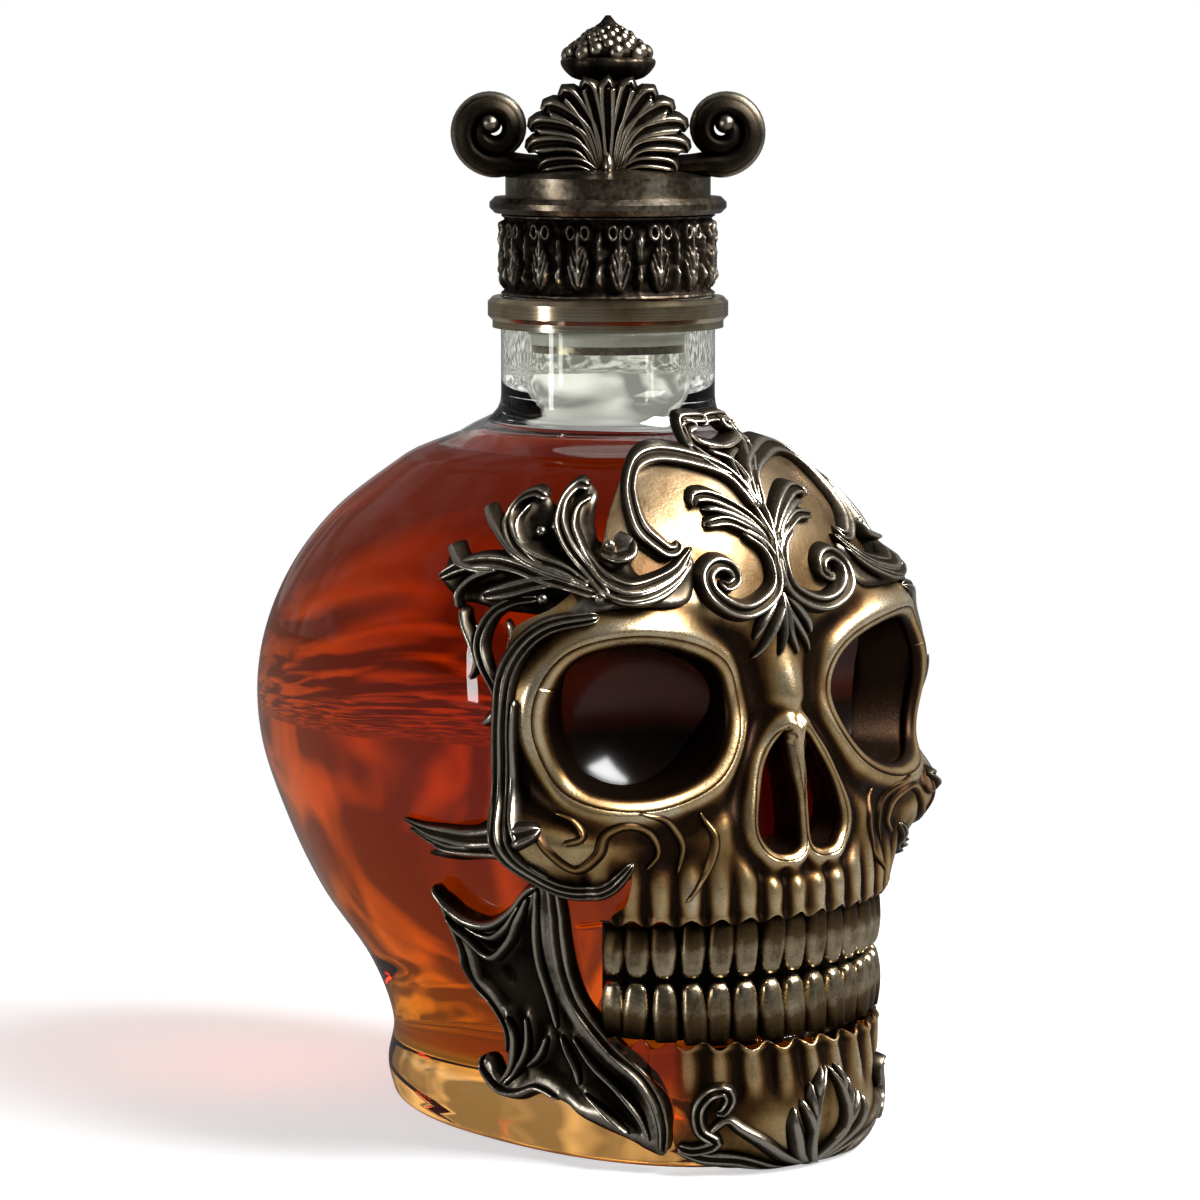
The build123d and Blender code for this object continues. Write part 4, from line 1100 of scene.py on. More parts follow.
mouth_draw_share = 0.8
mouth_high = gum_top + 2 * glass_wall + 2.0
chamber_low, chamber_top = foot_thickness, neck_start_share * glass_height
foot_round, floor_round, lip_round = 1.6, 7.0, 1.2
neck_ring, bore_ring = neck_section(neck_radius), neck_section(neck_bore_radius)


def quarter(steps):
    """Turns up to a right angle, without the first."""
    return [math.pi / 2 * step / steps for step in range(1, steps + 1)]


def chamber_ring(height, offset):
    """A ring of the liquor's hollow, its front drawn in behind the mouth."""
    drawn = 1 - smooth_step(height, mouth_high - 2, mouth_high + 12)
    section = sections_at(height)
    section[1] = section[1] * (1 - (1 - mouth_draw_share) * drawn)
    section[4] = section[4] + (2.0 - section[4]) * drawn
    return ring_points(height, offset, section)


def outer_rings():
    """The outside of the bottle from the middle of its foot up to the lip."""
    rings = []
    for share in (0.25, 0.5, 0.75, 0.9):
        section = [value * (share if k != 4 else 1) for k, value in enumerate(sections_at(0.0))]
        rings.append(ring_points(0.9 * (1 - share**4), 0, section))
    for turn in [0.0] + quarter(6):
        rings.append(ring_points(foot_round * (1 - math.cos(turn)), foot_round * (math.sin(turn) - 1)))
    neck_foot = section_shares[-2][0] * glass_height
    heights = np.linspace(foot_round + 1, chamber_top, 120)
    steps = [gum + nudge for gum in (gum_bottom, gum_top) for nudge in (-0.15, 0.0, 0.05, 0.2)]
    for height in np.sort(np.concatenate([heights, steps])):
        blend = smooth_step(height, neck_foot - 9, neck_foot + 5)
        section = [a * (1 - blend) + b * blend for a, b in zip(sections_at(height), neck_ring)]
        rings.append(ring_points(height, 0, section))
    for height in np.linspace(chamber_top + 1, glass_height - lip_round, 6):
        rings.append(ring_points(height, 0, neck_ring))
    for turn in quarter(5):
        rings.append(ring_points(glass_height - lip_round * (1 - math.sin(turn)),
                                 -lip_round * (1 - math.cos(turn)), neck_ring))
    return rings


def inner_rings(offset=0.0, top=None):
    """The hollow, from the middle of its floor up to a height, or up through the bore to the lip."""
    rings = []
    for share in (0.3, 0.6, 0.85):
        base = chamber_ring(chamber_low + 2.0, -glass_wall - floor_round + offset)
        ring = base.mean(0) + (base - base.mean(0)) * share
        ring[:, 2] = chamber_low - offset + 1.2 * (1 - share)
        rings.append(ring)
    for turn in quarter(7):
        rings.append(chamber_ring(chamber_low - offset + floor_round * (1 - math.cos(turn)),
                                  -glass_wall - floor_round * (1 - math.sin(turn)) + offset))
    stop = chamber_top - 3 if top is None else top
    heights = np.linspace(chamber_low + floor_round + 2, stop, 100)
    level = [liquor_level - 0.05, liquor_level + 0.05] if top is None else []
    for height in np.sort(np.concatenate([heights, level])):
        blend = smooth_step(height, chamber_top - 14, chamber_top - 2)
        rings.append(chamber_ring(height, -glass_wall + offset) * (1 - blend)
                     + ring_points(height, offset, bore_ring) * blend)
    if top is None:
        for height in np.linspace(chamber_top - 2, glass_height - 1.0, 8):
            rings.append(ring_points(height, 0, bore_ring))
    return rings


def eye_centre(side):
    """The middle of the sphere that an eye's dish belongs to."""
    section = sections_at(eye_height)
    angles = np.linspace(0, math.pi / 2, 4000)
    across = skin(angles, np.full(4000, eye_height), bowl_radius - bowl_depth, section)
    bare = skin(angles, np.full(4000, eye_height), 0.0, section)
    found = across[int(np.searchsorted(bare[:, 0], eye_offset))]
    return np.array([side * found[0], found[1], eye_height])


def dished(ring, radius):
    """A ring of the glass, pushed in to the round dish of each eye."""
    for side in (-1, 1):
        away = ring - eye_centre(side)
        reach = np.linalg.norm(away, axis=1, keepdims=True)
        ring = np.where(reach < radius, ring + away * (radius / np.maximum(reach, 1e-6) - 1), ring)
    return ring


def stepped(ring):
    """A ring of the glass's outside, drawn back to the column that carries the teeth."""
    height = ring[0, 2]
    if not gum_bottom < height < gum_top:
        return ring
    away = ring[:, :2] - np.array([0, arch_centre_y])
    half, depth = arch_half_width - tooth_depth - gum_depth, arch_depth - tooth_depth - gum_depth
    reach = np.sqrt((away[:, 0] / half)**2 + (away[:, 1] / depth)**2)
    drawn = away / np.maximum(reach, 1)[:, None] + np.array([0, arch_centre_y])
    front = ring[:, 1] < arch_centre_y
    ring = ring.copy()
    ring[front, :2] = drawn[front]
    return ring


def make_glass(material):
    """The bottle: its outside, its lip and the hollow for the liquor, in one closed skin."""
    outer = [dished(stepped(ring), bowl_radius) for ring in outer_rings()]
    inner = [dished(ring, bowl_radius + glass_wall) for ring in inner_rings()][::-1]
    lip = [ring_points(glass_height, -2.6, neck_ring), ring_points(glass_height - 0.3, 0.4, bore_ring)]
    vertices, faces = loft_rings(outer + lip + inner)
    wet = [0.0] * (len(outer) + 2) + [float(ring[:, 2].mean() < liquor_level) for ring in inner]
    values = {"wet": np.append(np.repeat(wet, glass_points), [0.0, 1.0])}
    add_piece("decanter_glass", vertices, faces, material, "bottle", ["glass_vessel"], values)


def make_liquor(material):
    """The liquor, up to its level, with a small rise where it meets the wall."""
    walls = [dished(ring, bowl_radius + glass_wall - liquor_overlap)
             for ring in inner_rings(liquor_overlap, liquor_level)]
    centre, surface = walls[-1].mean(0), []
    for share, drop in ((0.985, 0.35), (0.96, 0.75), (0.9, 0.95), (0.6, 1.0), (0.3, 1.0)):
        ring = centre + (walls[-1] - centre) * share
        ring[:, 2] = liquor_level - drop
        surface.append(ring)
    vertices, faces = loft_rings(walls + surface)
    still = np.repeat([0.0] * len(walls) + [1.0] * len(surface), glass_points)
    add_piece("liquor_fill", vertices, faces, material, "bottle", (),
              {"still": np.append(still, [0.0, 1.0])})


def node_span(node):
    """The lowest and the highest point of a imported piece."""
    return [corner.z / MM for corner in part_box(node)]


# The stopper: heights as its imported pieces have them, and sizes
dome_height = 2.6
fan_base = node_span("crown_drum")[1] - dome_height
band_bottom, band_top = node_span("cap_band")
cup_bottom, cup_top = node_span("finial_cup")
bud_bottom, bud_top = node_span("finial_bud")
band_radius = 22.6
band_bore = 17.0
crown_turn = math.radians(-40.0)
fan_setback = 6.0
fan_height = 20.0
volute_reach = 34.5
volute_radius = 10.2
cup_radius = 10.4


def crown_frame(across, depth, height):
    """A place on the crown: across it, towards its front and up."""
    c, s = math.cos(crown_turn), math.sin(crown_turn)
    across, depth, height = np.broadcast_arrays(across, depth, height)
    return np.stack([across * c + depth * s, across * s - depth * c, height], -1)


def make_band(material):
    """The cap's band: a ring of upright cast leaves and buds between two rolled edges."""
    leaves, around, rows = 16, 640, 90
    angle = circle(around)
    turn, rise = np.meshgrid(angle, np.linspace(0, 1, rows))
    cell, other = [(turn * leaves / (2 * math.pi) + shift) % 1.0 - 0.5 for shift in (0, 0.5)]

    def standing(place, spread, foot, tip):
        """An upright bead, between the heights where it starts and ends."""
        return bump(place, 0, spread) * smooth_step(rise, *foot) * (1 - smooth_step(rise, *tip))
    stem = standing(cell, 0.07, (0.10, 0.2), (0.80, 0.92))
    tongue = standing(other, 0.09, (0.35, 0.5), (0.7, 0.85))
    curl = bump(np.hypot((np.abs(cell) - 0.17) * 3.0, (rise - 0.80) * 3.6), 0.28, 0.13)
    leaf_half = 0.30 * np.clip(np.sin(math.pi * np.clip((rise - 0.08) / 0.62, 0, 1)), 0, 1)**0.7
    leaf = smooth_step(leaf_half - np.abs(cell), 0.0, 0.08)
    veins = 0.5 + 0.5 * np.cos(math.pi * 2 * (np.abs(cell) * 9 - rise * 5))
    bud = bump(np.hypot(other * 3.4, (rise - 0.28) * 2.6), 0, 0.33)
    ragged = blurred(rng.normal(size=turn.shape), 2.2)
    ragged /= np.abs(ragged).max()
    form = np.maximum.reduce([0.9 * stem, 0.85 * curl, leaf * (0.45 + 0.35 * veins), bud, 0.75 * tongue])
    form = (form + 0.35 * ragged) * smooth_step(rise, 0.0, 0.05) * (1 - smooth_step(rise, 0.95, 1.0))
    rim = bump(rise, 0.03, 0.03) + bump(rise, 0.97, 0.025)
    radius = np.minimum(band_radius - 0.9 + 1.9 * form + rim, band_radius + 1.05)
    height = band_bottom + (band_top - band_bottom) * rise
    front = np.stack([radius * np.sin(turn), -radius * np.cos(turn), height], -1).reshape(-1, 3)
    bore = [np.stack([band_bore * np.sin(angle), -band_bore * np.cos(angle), np.full(around, z)], -1)
            for z in (band_top, band_bottom)]
    wear = np.clip(0.05 + 0.8 * form + 0.6 * rim, 0, 1).reshape(-1)
    add_piece("band_cast", np.vstack([front] + bore), ring_faces(rows + 2, around, wrapped=True), material,
              "stopper", ["cap_band"], {"wear": np.append(wear, np.zeros(2 * around))})


def make_palmette(way, node, material):
    """A fan of fluted leaves, standing on the drum and leaning out at its tips."""
    casting = Casting(material)
    lobes = [  # tip across and up, how far the lobe bows outwards, half width
        (0.0, 19.6, 0.0, 1.9), (4.6, 19.4, 0.6, 1.8), (9.0, 17.6, 1.4, 1.9), (12.6, 14.6, 2.2, 2.0),
        (15.4, 10.8, 2.8, 2.0), (16.0, 6.4, 2.6, 1.8), (13.6, 2.4, 1.4, 1.5)]

    def place(across, height, rise):
        share = np.clip((height - fan_base) / fan_height, 0, 1)
        depth = fan_setback + 4.6 + 2.4 * share**2 - 0.014 * across**2 + rise
        return crown_frame(across * way, depth * way, height)
    for tip_across, tip_up, bow, half_width in lobes:
        for side in ((1, -1) if tip_across else (1,)):
            start = np.array([side * 0.12 * tip_across, fan_base + 1.0])
            tip = np.array([side * tip_across, fan_base + tip_up])
            bend = np.array([-side * bow * 0.9, bow * 1.1])
            route = [start, (start + tip) / 2 + bend, tip, tip + np.array([side * 0.7, -1.3])]
            add_strand(casting, np.array(route), [0.8, half_width * 1.15, half_width * 1.3, half_width * 0.6],
                       3.8, 2, 0.5, place, sunk=2.2)
    stem = np.array([(0, fan_base + up) for up in (0.3, 3.4, 6.0)])
    add_strand(casting, stem, [2.2, 1.9, 0.5], 4.4, 1, 0.2, place)
    casting.finish(node + "_cast", "stopper", [node])


def make_volute(side, node, material):
    """A fluted scroll that rises from the drum and winds in on itself."""
    casting = Casting(material)
    centre = np.array([side * (volute_reach - volute_radius), fan_base + 9.9])
    foot = [(side * across, fan_base + 3.0) for across in (9.0, 17.0)]
    wound = spiral(centre, centre + np.array([side * -2.4, -volute_radius + 3.8]), side * 1.5, 1.6, 26)
    line = smooth_route(np.vstack([foot, wound]), 0.8)
    lengths = np.linspace(0, 1, len(line))
    tangent = np.gradient(line, axis=0)
    tangent /= np.linalg.norm(tangent, axis=1)[:, None]
    facing = (np.stack([tangent[:, 1], -tangent[:, 0]], -1) * side)[:, None]
    half_depth = np.interp(lengths, [0, 0.12, 0.5, 0.85, 1], [5.0, 7.2, 7.6, 7.9, 7.4])
    thick = np.interp(lengths, [0, 0.3, 0.6, 0.85, 1], [2.6, 3.7, 3.7, 3.2, 2.4])
    across, back = np.linspace(-1, 1, 41), np.linspace(1, -1, 13)[1:-1]
    height, rubbed = flute_profile(across, 5, 0.34)
    out = thick[:, None] * np.append(height, -0.55 * (1 - np.abs(back)**3))
    profile = line[:, None] + facing * out[..., None]
    depth = half_depth[:, None] * np.append(across, back)
    vertices, faces = loft_rings(crown_frame(profile[..., 0], depth, profile[..., 1]))
    wear = np.tile(np.append(rubbed, np.full(len(back), 0.15)), len(line))
    casting.add(vertices, faces, np.append(wear, [0.2, 0.2]))
    rings, turns = [], circle(20)
    for polar in [math.pi * step / 12 for step in range(13)]:
        radius = 2.3 * math.sin(polar)**0.5 + 0.02
        rings.append(crown_frame(line[-1][0] + radius * np.cos(turns), -8.4 * math.cos(polar),
                                 line[-1][1] + radius * np.sin(turns)))
    casting.add(*loft_rings(rings, caps=False), 0.7)
    casting.finish(node + "_cast", "stopper", [node])


def scale_shape():
    """One scale of the cone, of unit size: a half ball that stands out along its own z."""
    turns = circle(8)
    loops, wear = [], []
    for polar in np.linspace(math.pi / 2, 0.05, 5):
        c, s = math.cos(polar), math.sin(polar)
        loops.append(oval(turns, 1.05 * s, 1.15 * s, 1.1 * c - 0.15))
        wear += [max(0.0, c)**0.7] * len(turns)
    return *loft_rings(loops), wear + [0.0, 1.0]


def make_finial(material):
    """The cone on top: overlapping scales in a spiral, over a leafy cup."""
    casting = Casting(material)
    scales = 74
    share = (np.arange(scales) + 0.5) / scales
    turn = np.arange(scales) * math.pi * (3 - math.sqrt(5))
    height = bud_bottom + 0.2 + (bud_top - bud_bottom - 1.6) * share**0.9
    radius = 8.4 * (1 - share)**0.9 + 0.3 * np.sin(share * 14)
    size = 1.75 * (1 - 0.55 * share)
    places = np.stack([radius * np.cos(turn), radius * np.sin(turn), height], -1)
    turns = np.stack([np.full(scales, math.pi / 2), np.zeros(scales), turn + math.pi / 2], -1)
    casting.add_repeats(scale_shape(), places, turns, np.stack([size] * 3, -1))
    core = ((8.4, bud_bottom), (8.2, bud_bottom + 1.5), (6.2, bud_bottom + 3.5),
            (3.8, bud_bottom + 5.6), (1.6, bud_top - 1.4), (0.5, bud_top))
    casting.add(*loft_rings([oval(circle(40), r, r, z) for r, z in core]), 0.1)
    casting.finish("finial_bud_cast", "stopper", ["finial_bud"])


def make_cup(material):
    """The leafy cup under the cone, its rim turned over in scallops."""
    leaves, turns = 10, circle(240)
    wave = np.abs(np.sin(turns * leaves / 2))**0.6
    profile = smooth_route([(5.2, cup_bottom), (7.6, cup_bottom + 0.8), (9.2, cup_bottom + 2.2),
                            (10.0, cup_bottom + 3.6), (9.9, cup_top - 0.5), (8.8, cup_top)], 0.25)
    rings, wear = [], []
    for radius, height in profile:
        share = (height - cup_bottom) / (cup_top - cup_bottom)
        vein = 0.25 * np.cos(turns * leaves * 3) * share
        r = np.minimum(radius + (wave - 0.7) * 0.55 * share + 0.18 * vein, cup_radius)
        rings.append(oval(turns, r, r, height))
        wear.append(np.clip(0.1 + 0.8 * (wave - 0.35) * share + 0.5 * vein, 0, 1))
    vertices, faces = loft_rings(rings)
    add_piece("finial_cup_cast", vertices, faces, material, "stopper",
              ["finial_cup"], {"wear": np.concatenate(wear + [[0.2, 0.2]])})


class Shader(Tree):
    """A material or world under construction."""

    def __init__(self, owner):
        owner.use_nodes = True
        self.owner = owner
        super().__init__(owner.node_tree)
        self.tree.nodes.clear()

    def attribute(self, name):
        return self.node("ShaderNodeAttribute", output="Fac", attribute_name=name)

    def place(self):
        return self.node("ShaderNodeTexCoord", output="Object")

    def up(self):
        """The height over the floor, in metres."""
        return self.node("ShaderNodeSeparateXYZ", {"Vector": self.place()}, output="Z")

    def ray(self, kind):
        """1 where the light's path is of a kind, or else 0."""
        return self.node("ShaderNodeLightPath", output="Is " + kind + " Ray")

    def noise(self, scale, detail, rough=0.55, distortion=0.0, stretch=None):
        place = self.place()
        if stretch:
            place = self.node("ShaderNodeMapping", {"Vector": place, "Scale": stretch})
        return self.node("ShaderNodeTexNoise", {"Vector": place, "Scale": scale, "Detail": detail,
                                                "Roughness": rough, "Distortion": distortion})

    def ramp(self, factor, stops):
        return self.node("ShaderNodeValToRGB", {"Fac": factor}, stops=stops)

    def mix(self, factor, first, second):
        return self.node("ShaderNodeMix", {0: factor, 6: first, 7: second}, output=2, data_type="RGBA")

    def blend(self, factor, first, second):
        return self.node("ShaderNodeMixShader", {0: factor, 1: first, 2: second})

    def passing(self, color):
        return self.node("ShaderNodeBsdfTransparent", {"Color": color})

    def height(self, field, strength, distance):
        return self.node("ShaderNodeBump", {"Height": field, "Strength": strength, "Distance": distance})

    def surface(self, **values):
        return self.node("ShaderNodeBsdfPrincipled", {key.replace("_", " "): v for key, v in values.items()})

    def finish(self, surface, volume=None, target="ShaderNodeOutputMaterial"):
        self.node(target, {"Surface": surface, "Volume": volume} if volume else {"Surface": surface})
        return self.owner


# Heights in metres where a finish or a painted light changes: the foot's painted glow, the neck's tint with
# painted shade, the face's paler top and the eyes' painted glow
foot_glow_height, neck_shade_height = 0.011, 0.150
face_pale_height, eye_glow_height = 0.104, 0.0985


def new_material(name):
    return Shader(bpy.data.materials.new(name))


def cast_metal(name, dark, middle, bright, shine=0.26, grain=900.0, rubbed_bias=0.0):
    """Cast, patinated metal: dark in its grooves and rubbed bright along its ridges."""
    shader = new_material(name)
    wear = shader.attribute("wear")
    cloud = shader.noise(130.0, 5.0)
    speck = shader.noise(grain, 3.0)
    rubbed = (wear + rubbed_bias + (cloud - 0.5) * 0.45 + (speck - 0.5) * 0.22).clamped()
    dim = tuple(0.55 * d + 0.45 * m for d, m in zip(dark, middle))
    color = shader.ramp(rubbed, [(0.0, dark), (0.34, dim), (0.58, middle), (0.86, bright)])
    rough = shine + 0.34 * (1.0 - rubbed) + (speck - 0.5) * 0.16
    return shader.finish(shader.surface(Base_Color=color, Metallic=1.0, Roughness=rough,
                                        Normal=shader.height(speck * 0.6 + cloud * 0.4, 0.35, 0.0003)))


def bone_bronze(name, sheer=False):
    """The face's worn bronze: silver where it is rubbed, golden brown below, dark in its hollows. Towards the
    top it turns paler and more silver, partly its own tone and partly a painted highlight.
    """
    shader = new_material(name)
    wear = shader.attribute("wear")
    cloud = shader.noise(55.0, 6.0, 0.62, 0.4)
    streak = shader.noise(1.0, 5.0, 0.6, stretch=(150.0, 150.0, 38.0))
    speck = shader.noise(1500.0, 3.0, 0.7)
    # paler and more silver towards the top: partly the metal's own tone, partly a painted highlight of the
    # light from above; it also brightens rubbed
    pale = ((shader.up() - face_pale_height) * 22.0).clamped()
    rubbed = (wear * 0.95 + (cloud - 0.5) * 0.75 + (streak - 0.5) * 0.5 + pale * 0.22 - 0.20).clamped()
    gold = shader.ramp(rubbed, [(0.0, (0.020, 0.009, 0.004)), (0.27, (0.125, 0.057, 0.017)),
                                (0.5, (0.42, 0.255, 0.095)), (0.72, (0.68, 0.48, 0.24)),
                                (1.0, (0.95, 0.86, 0.64))])
    silver = shader.ramp(rubbed, [(0.0, (0.03, 0.02, 0.012)), (0.3, (0.19, 0.13, 0.078)),
                                  (0.55, (0.44, 0.36, 0.27)), (0.85, (0.80, 0.74, 0.64))])
    color = shader.mix((pale * 0.6 + (cloud - 0.5) * 0.9).clamped(), gold, silver)
    spots = ((speck - 0.56) * 7.0).clamped() * (1.0 - rubbed * 0.75)
    color = shader.mix(spots * 0.55, color, (0.05, 0.028, 0.012, 1.0))
    rough = 0.40 - rubbed * 0.16 + (speck - 0.5) * 0.18
    field = speck * 0.35 + cloud * 0.5 + streak * 0.4
    surface = shader.surface(Base_Color=color, Metallic=0.92, Roughness=rough,
                             Normal=shader.height(field, 0.30, 0.0004))
    if sheer:
        amber = shader.surface(Base_Color=(0.98, 0.36, 0.07, 1.0), Roughness=0.08, IOR=1.35,
                               Transmission_Weight=1.0)
        factor = (shader.attribute("sheer") * 1.5 + (cloud - 0.5) * 0.9 - 0.18).clamped()
        surface = shader.blend(factor, surface, amber)
    return shader.finish(surface)


def clear_glass():
    """Clear flint glass. Where the liquor wets its inside, light passes on without a second wall. Its foot is
    tinted orange, a painted glow of the liquor's light, and its neck is greenish grey and darker, partly a
    tint and partly painted shade.
    """
    shader = new_material("clear_flint_glass")
    # the foot is tinted orange: a painted glow of the liquor's light shining down through it
    foot = (1.0 - (shader.up() - foot_glow_height) * 170.0).clamped()
    # the neck turns greenish grey and darker: partly a glass tint, partly painted shade of the dim room that
    # it reflects
    neck = ((shader.up() - neck_shade_height) * 90.0).clamped()
    clear = shader.mix(neck, (0.985, 0.985, 0.97, 1.0), (0.86, 0.87, 0.80, 1.0))
    tint_with_painted_light = shader.mix(foot, clear, (0.92, 0.47, 0.13, 1.0))
    glass = shader.surface(Base_Color=tint_with_painted_light, Roughness=0.0, IOR=1.46, Transmission_Weight=1.0)
    surface = shader.blend(shader.attribute("wet"), glass, shader.passing(white))
    shade = shader.passing((0.73, 0.78, 0.79, 1.0))
    return shader.finish(shader.blend(shader.ray("Shadow"), surface, shade))


def amber_liquor():
    """Amber liquor: its colour deepens with the thickness that the light crosses."""
    shader = new_material("amber_spirit")
    film = shader.surface(Base_Color=white, Roughness=0.0, IOR=1.46, Transmission_Weight=1.0)
    factor = shader.attribute("still") * (1.0 - shader.ray("Shadow"))
    volume = shader.node("ShaderNodeVolumeAbsorption", {"Color": (0.92, 0.68, 0.08, 1.0), "Density": 100.0})
    return shader.finish(shader.blend(factor, shader.passing(white), film), volume)


def dark_glass():
    """The smoked glass of the eyes, with a faint red band across their middle: a painted glow of the liquor's
    light behind it.
    """
    shader = new_material("smoked_glass")
    cloud = shader.noise(26.0, 3.0)
    # a red band painted across the middle of each eye: a painted glow of the liquor shining through
    band = (1.0 - ((shader.up() - eye_glow_height) * 110.0)**2.0).clamped() * ((cloud - 0.3) * 2.2).clamped()
    color = shader.mix(band, (0.006, 0.003, 0.002, 1.0), (0.12, 0.014, 0.004, 1.0))
    return shader.finish(shader.surface(Base_Color=color, Roughness=0.16, Specular_IOR_Level=0.36))


def polished_gilt():
    """The neck's gilt ring, with fine turning marks."""
    shader = new_material("gilt_brass")
    cloud = shader.noise(70.0, 4.0)
    lines = shader.noise(1.0, 2.0, 0.5, stretch=(20.0, 20.0, 2600.0))
    color = shader.ramp(cloud + (lines - 0.5) * 0.25, [(0.25, (0.36, 0.25, 0.12)), (0.5, (0.80, 0.66, 0.42)),
                                                      (0.75, (0.96, 0.90, 0.76))])
    return shader.finish(shader.surface(Base_Color=color, Metallic=1.0, Roughness=0.16 + (lines - 0.5) * 0.12,
                                        Normal=shader.height(lines, 0.08, 0.0002)))


def turned_pewter():
    """The cap's turned rims: dark pewter, brighter in random patches."""
    shader = new_material("turned_pewter")
    cloud = shader.noise(90.0, 5.0)
    speck = shader.noise(900.0, 3.0)
    color = shader.ramp(cloud + (speck - 0.5) * 0.3, [(0.3, (0.04, 0.03, 0.02)), (0.5, (0.15, 0.118, 0.082)),
                                                     (0.72, (0.46, 0.40, 0.31))])
    return shader.finish(shader.surface(Base_Color=color, Metallic=1.0, Roughness=0.3 + (speck - 0.5) * 0.2,
                                        Normal=shader.height(cloud, 0.2, 0.0003)))


def seal_polymer():
    """The pale sealing sleeve."""
    shader = new_material("seal_polymer")
    cloud = shader.noise(300.0, 3.0)
    color = shader.ramp(cloud, [(0.3, (0.66, 0.63, 0.56)), (0.7, (0.78, 0.76, 0.70))])
    return shader.finish(shader.surface(Base_Color=color, Roughness=0.42 + (cloud - 0.5) * 0.1,
                                        Normal=shader.height(cloud, 0.1, 0.0002)))


def make_ornaments(pewter):
    """Every cast scroll and leaf on the head."""
    temple = cast_sheet(pewter, temple_trace, temple_routes, 1.1, 0.9,
                        lambda inside, a, z: 0.8 * smooth_step(inside, -0.4, 1.4))
    along, height = face_route(pearl_trace).T
    pearls = head_place(along, height, carrier_lift(along, height) + 2.2)
    temple.add_repeats(ball_shape(pearl_radius), pearls, 0 * pearls, 0 * pearls + 1)
    both(temple, "temple_leaves")
    face, chin = face_field.place, jaw_field.place
    both(cast_set(brow_routes, face, Casting(pewter)), "brow_scroll")
    both(cast_set(palm_volute_routes, face, Casting(pewter)), "palm_volute")
    both(cast_set(curl_routes, None, Casting(pewter)), "temple_curl")
    spur = cast_sheet(pewter, spur_trace, spur_routes, 0.9, 1.4,
                      lambda inside, a, z: 1.6 * smooth_step(inside, -0.4, 2.4))
    both(cast_set(cheek_trim_routes, face, spur), "cheek_spur")
    both(cast_set(chin_scroll_routes, chin, Casting(pewter)), "chin_scroll")
    for name, routes, place, reach in (("forehead_palm", palm_routes + nasal_routes, face, None),
                                       ("crest_knot", crest_routes, face, 13.0),
                                       ("chin_leaf", chin_leaf_routes, chin, None)):
        casting = cast_set(routes, place, Casting(pewter), reach)
        casting.join(casting.twin())
        casting.finish(name + "_cast", "bottle", [name])


def make_strap(material):
    """The jaw's cast strap, with its rolled front edge and its folds, on the right and the left."""
    pocket = face_route([(507, 975)])[0]

    def profile(inside, along, height):
        hollow = bump(np.hypot(along - pocket[0], height - pocket[1]), 0, 2.0)
        return (2.4 * smooth_step(inside, -0.5, 1.8) - 1.2 * smooth_step(inside, 2.5, 5.0)
                - 1.2 * hollow)
    both(cast_sheet(material, strap_trace, strap_routes, 1.1, 1.6, profile), "jaw_strap")


def make_object():
    """Every piece of the decanter, with its finish."""
    pewter = cast_metal("antique_pewter", (0.007, 0.005, 0.0035), (0.105, 0.080, 0.053),
                        (0.58, 0.53, 0.44), 0.24)
    crown_metal = cast_metal("crown_pewter", (0.007, 0.005, 0.004), (0.085, 0.066, 0.045),
                             (0.48, 0.42, 0.33), 0.26)
    patina = cast_metal("dark_patina", (0.008, 0.006, 0.005), (0.075, 0.057, 0.042), (0.50, 0.45, 0.38),
                        0.32, 700.0)
    tooth_bronze = cast_metal("tooth_bronze", (0.012, 0.007, 0.003), (0.17, 0.108, 0.048),
                              (0.70, 0.58, 0.39), 0.20, 1200.0, -0.12)
    make_glass(clear_glass())
    make_liquor(amber_liquor())
    make_face_plate(bone_bronze("aged_bronze"))
    make_jaw_plate(bone_bronze("sheer_bronze", sheer=True))
    make_teeth("upper_teeth", gum_top + 1.5, bite_top, tooth_bronze)
    make_teeth("lower_teeth", gum_bottom - 1.2, bite_bottom, tooth_bronze)
    make_strap(pewter)
    make_ornaments(pewter)
    make_band(patina)
    for make, way, node in ((make_palmette, 1, "palmette_front"), (make_palmette, -1, "palmette_back"),
                            (make_volute, 1, "volute_right"), (make_volute, -1, "volute_left")):
        make(way, node, crown_metal)
    make_cup(crown_metal)
    make_finial(crown_metal)
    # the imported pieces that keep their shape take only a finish
    turned_nodes = ("bead_ring", "crown_drum", "finial_post", "stopper_plug", "crown_stud")
    for material, nodes in ((dark_glass(), ("eye_bowl_right", "eye_bowl_left")),
                            (polished_gilt(), ("neck_collar",)), (seal_polymer(), ("plug_seals",)),
                            (turned_pewter(), turned_nodes), (patina, ("mouth_backing",))):
        for node in nodes:
            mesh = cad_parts[node].data
            mesh.materials.clear()
            mesh.materials.append(material)


def metre(vector):
    return Vector([float(v) * MM for v in vector])


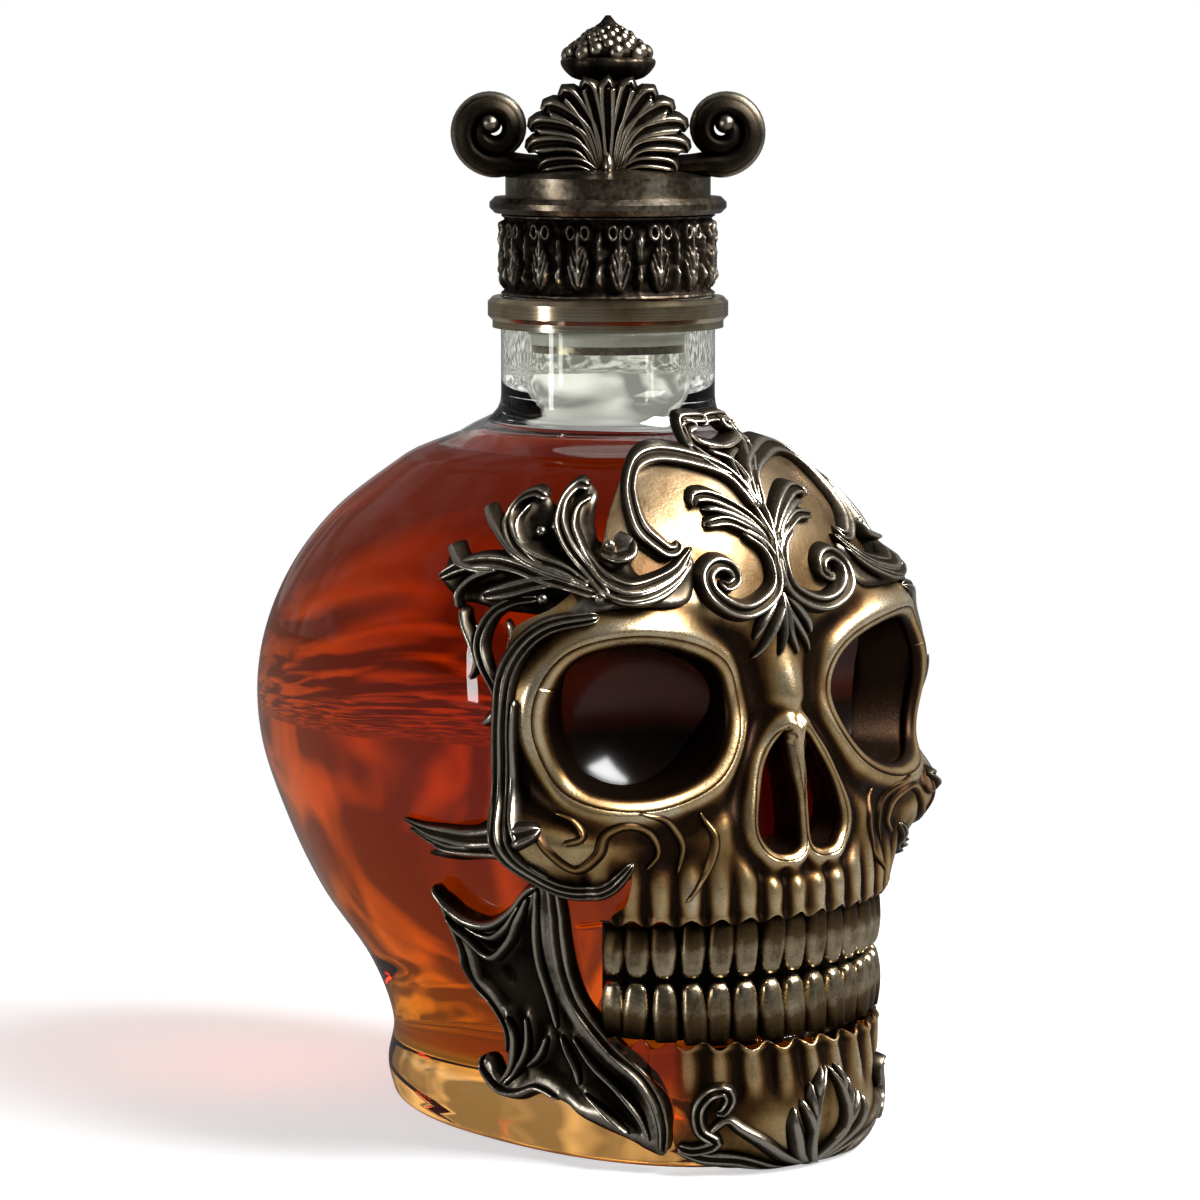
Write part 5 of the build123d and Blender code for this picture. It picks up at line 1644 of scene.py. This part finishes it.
def make_floor():
    """White paper under the object. Far out it turns into the white backdrop."""
    half_floor, grey = 4000.0, 0.62
    corners = [metre((x * half_floor, y * half_floor, 0)) for x, y in ((-1, -1), (1, -1), (1, 1), (-1, 1))]
    mesh = bpy.data.meshes.new("studio_floor")
    mesh.from_pydata(corners, [], [(0, 1, 2, 3)])
    floor = new_object("studio_floor", mesh)
    shader = new_material("studio_floor")
    camera, through = shader.ray("Camera"), shader.ray("Transmission")
    reach = shader.node("ShaderNodeVectorMath", {0: shader.place()}, output="Value", operation="LENGTH")
    far = ((reach - 0.16) * 3.2).clamped()
    seen = (camera + through).clamped()
    # through the glass the floor glows only in patches
    patches = ((shader.noise(9.0, 2.0, 0.5, 0.5) - 0.44) * 5.0).clamped()
    held = 1.0 - through * (1.0 - camera) * (0.75 - 0.75 * patches)
    strength = seen * held * (0.56 + 0.44 * far) + (1.0 - seen) * 0.08
    glow = shader.node("ShaderNodeEmission", {"Color": white, "Strength": strength})
    # in mirrored rays the paper is darker, so that it lays no veil on the glass
    mirror_ray = shader.ray("Glossy") * (1.0 - camera)
    paper = shader.node("ShaderNodeBsdfDiffuse", {
        "Color": shader.mix(mirror_ray, (grey, grey, grey, 1.0), (0.12, 0.12, 0.12, 1.0))})
    near = shader.node("ShaderNodeAddShader", {0: glow, 1: paper})
    mesh.materials.append(shader.finish(shader.blend(far * seen, near, glow)))


def make_world():
    """White surroundings, which metal and glass see as a dim room with lit panes behind the object."""
    world = bpy.data.worlds.new("studio")
    bpy.context.scene.world = world
    shader = Shader(world)
    direction = shader.node("ShaderNodeTexCoord", output="Generated")
    behind = tuple(float(v) for v in -view_back + 0.25 * np.array([0, 0, 1]))
    facing = shader.node("ShaderNodeVectorMath", {0: direction, 1: behind}, output="Value",
                         operation="DOT_PRODUCT")
    open_side = ((facing + 0.15) * 1.6).clamped()
    cone = ((facing - 0.45) * 3.0).clamped()
    panes = shader.node("ShaderNodeTexNoise", {"Vector": direction, "Scale": 3.4, "Detail": 1.5,
                                               "Distortion": 1.4})
    lit_panes = ((panes - 0.42) * 4.0).clamped()
    camera, through, mirror_ray = [shader.ray(kind) for kind in ("Camera", "Transmission", "Glossy")]
    seen = (camera + through + mirror_ray).clamped()
    strength = (camera + through * (0.10 + 0.90 * cone * (0.16 + 0.84 * lit_panes))
                + mirror_ray * (0.04 + 0.24 * open_side) * (0.4 + 0.6 * lit_panes)
                + (1.0 - seen) * 0.22)
    background = shader.node("ShaderNodeBackground", {"Color": white, "Strength": strength})
    shader.finish(background, target="ShaderNodeOutputWorld")


def make_lamps():
    """A soft key from the upper right and a weak fill from the left."""
    lamps = [  # name, place in view axes (right, up, towards the camera), width, height, power
        ("key", (560.0, 620.0, 300.0), 420.0, 420.0, 18.0),
        ("fill", (-820.0, 60.0, 420.0), 90.0, 420.0, 1.6),
    ]
    centre = np.array([0, -10.0, 100.0])
    for name, (right, up, towards), width, height, power in lamps:
        lamp = bpy.data.lights.new(name, "AREA")
        lamp.shape, lamp.size, lamp.size_y, lamp.energy = "RECTANGLE", width * MM, height * MM, power
        holder = new_object(name, lamp)
        place = centre + view_right * right + view_up * up + view_back * towards
        holder.location = metre(place)
        holder.rotation_euler = metre(place - centre).to_track_quat("Z", "Y").to_euler()


def make_camera():
    """The photograph's view."""
    lens = bpy.data.cameras.new("view")
    lens.sensor_width = 36.0
    lens.lens = focal_pixels / photo_size * lens.sensor_width
    camera = new_object("view", lens)
    camera.location = metre(camera_place)
    camera.rotation_euler = Vector(view_back).to_track_quat("Z", "Y").to_euler()
    bpy.context.scene.camera = camera


make_object()
make_floor()
make_world()
make_lamps()
make_camera()
bpy.context.scene.view_settings.view_transform = "Standard"
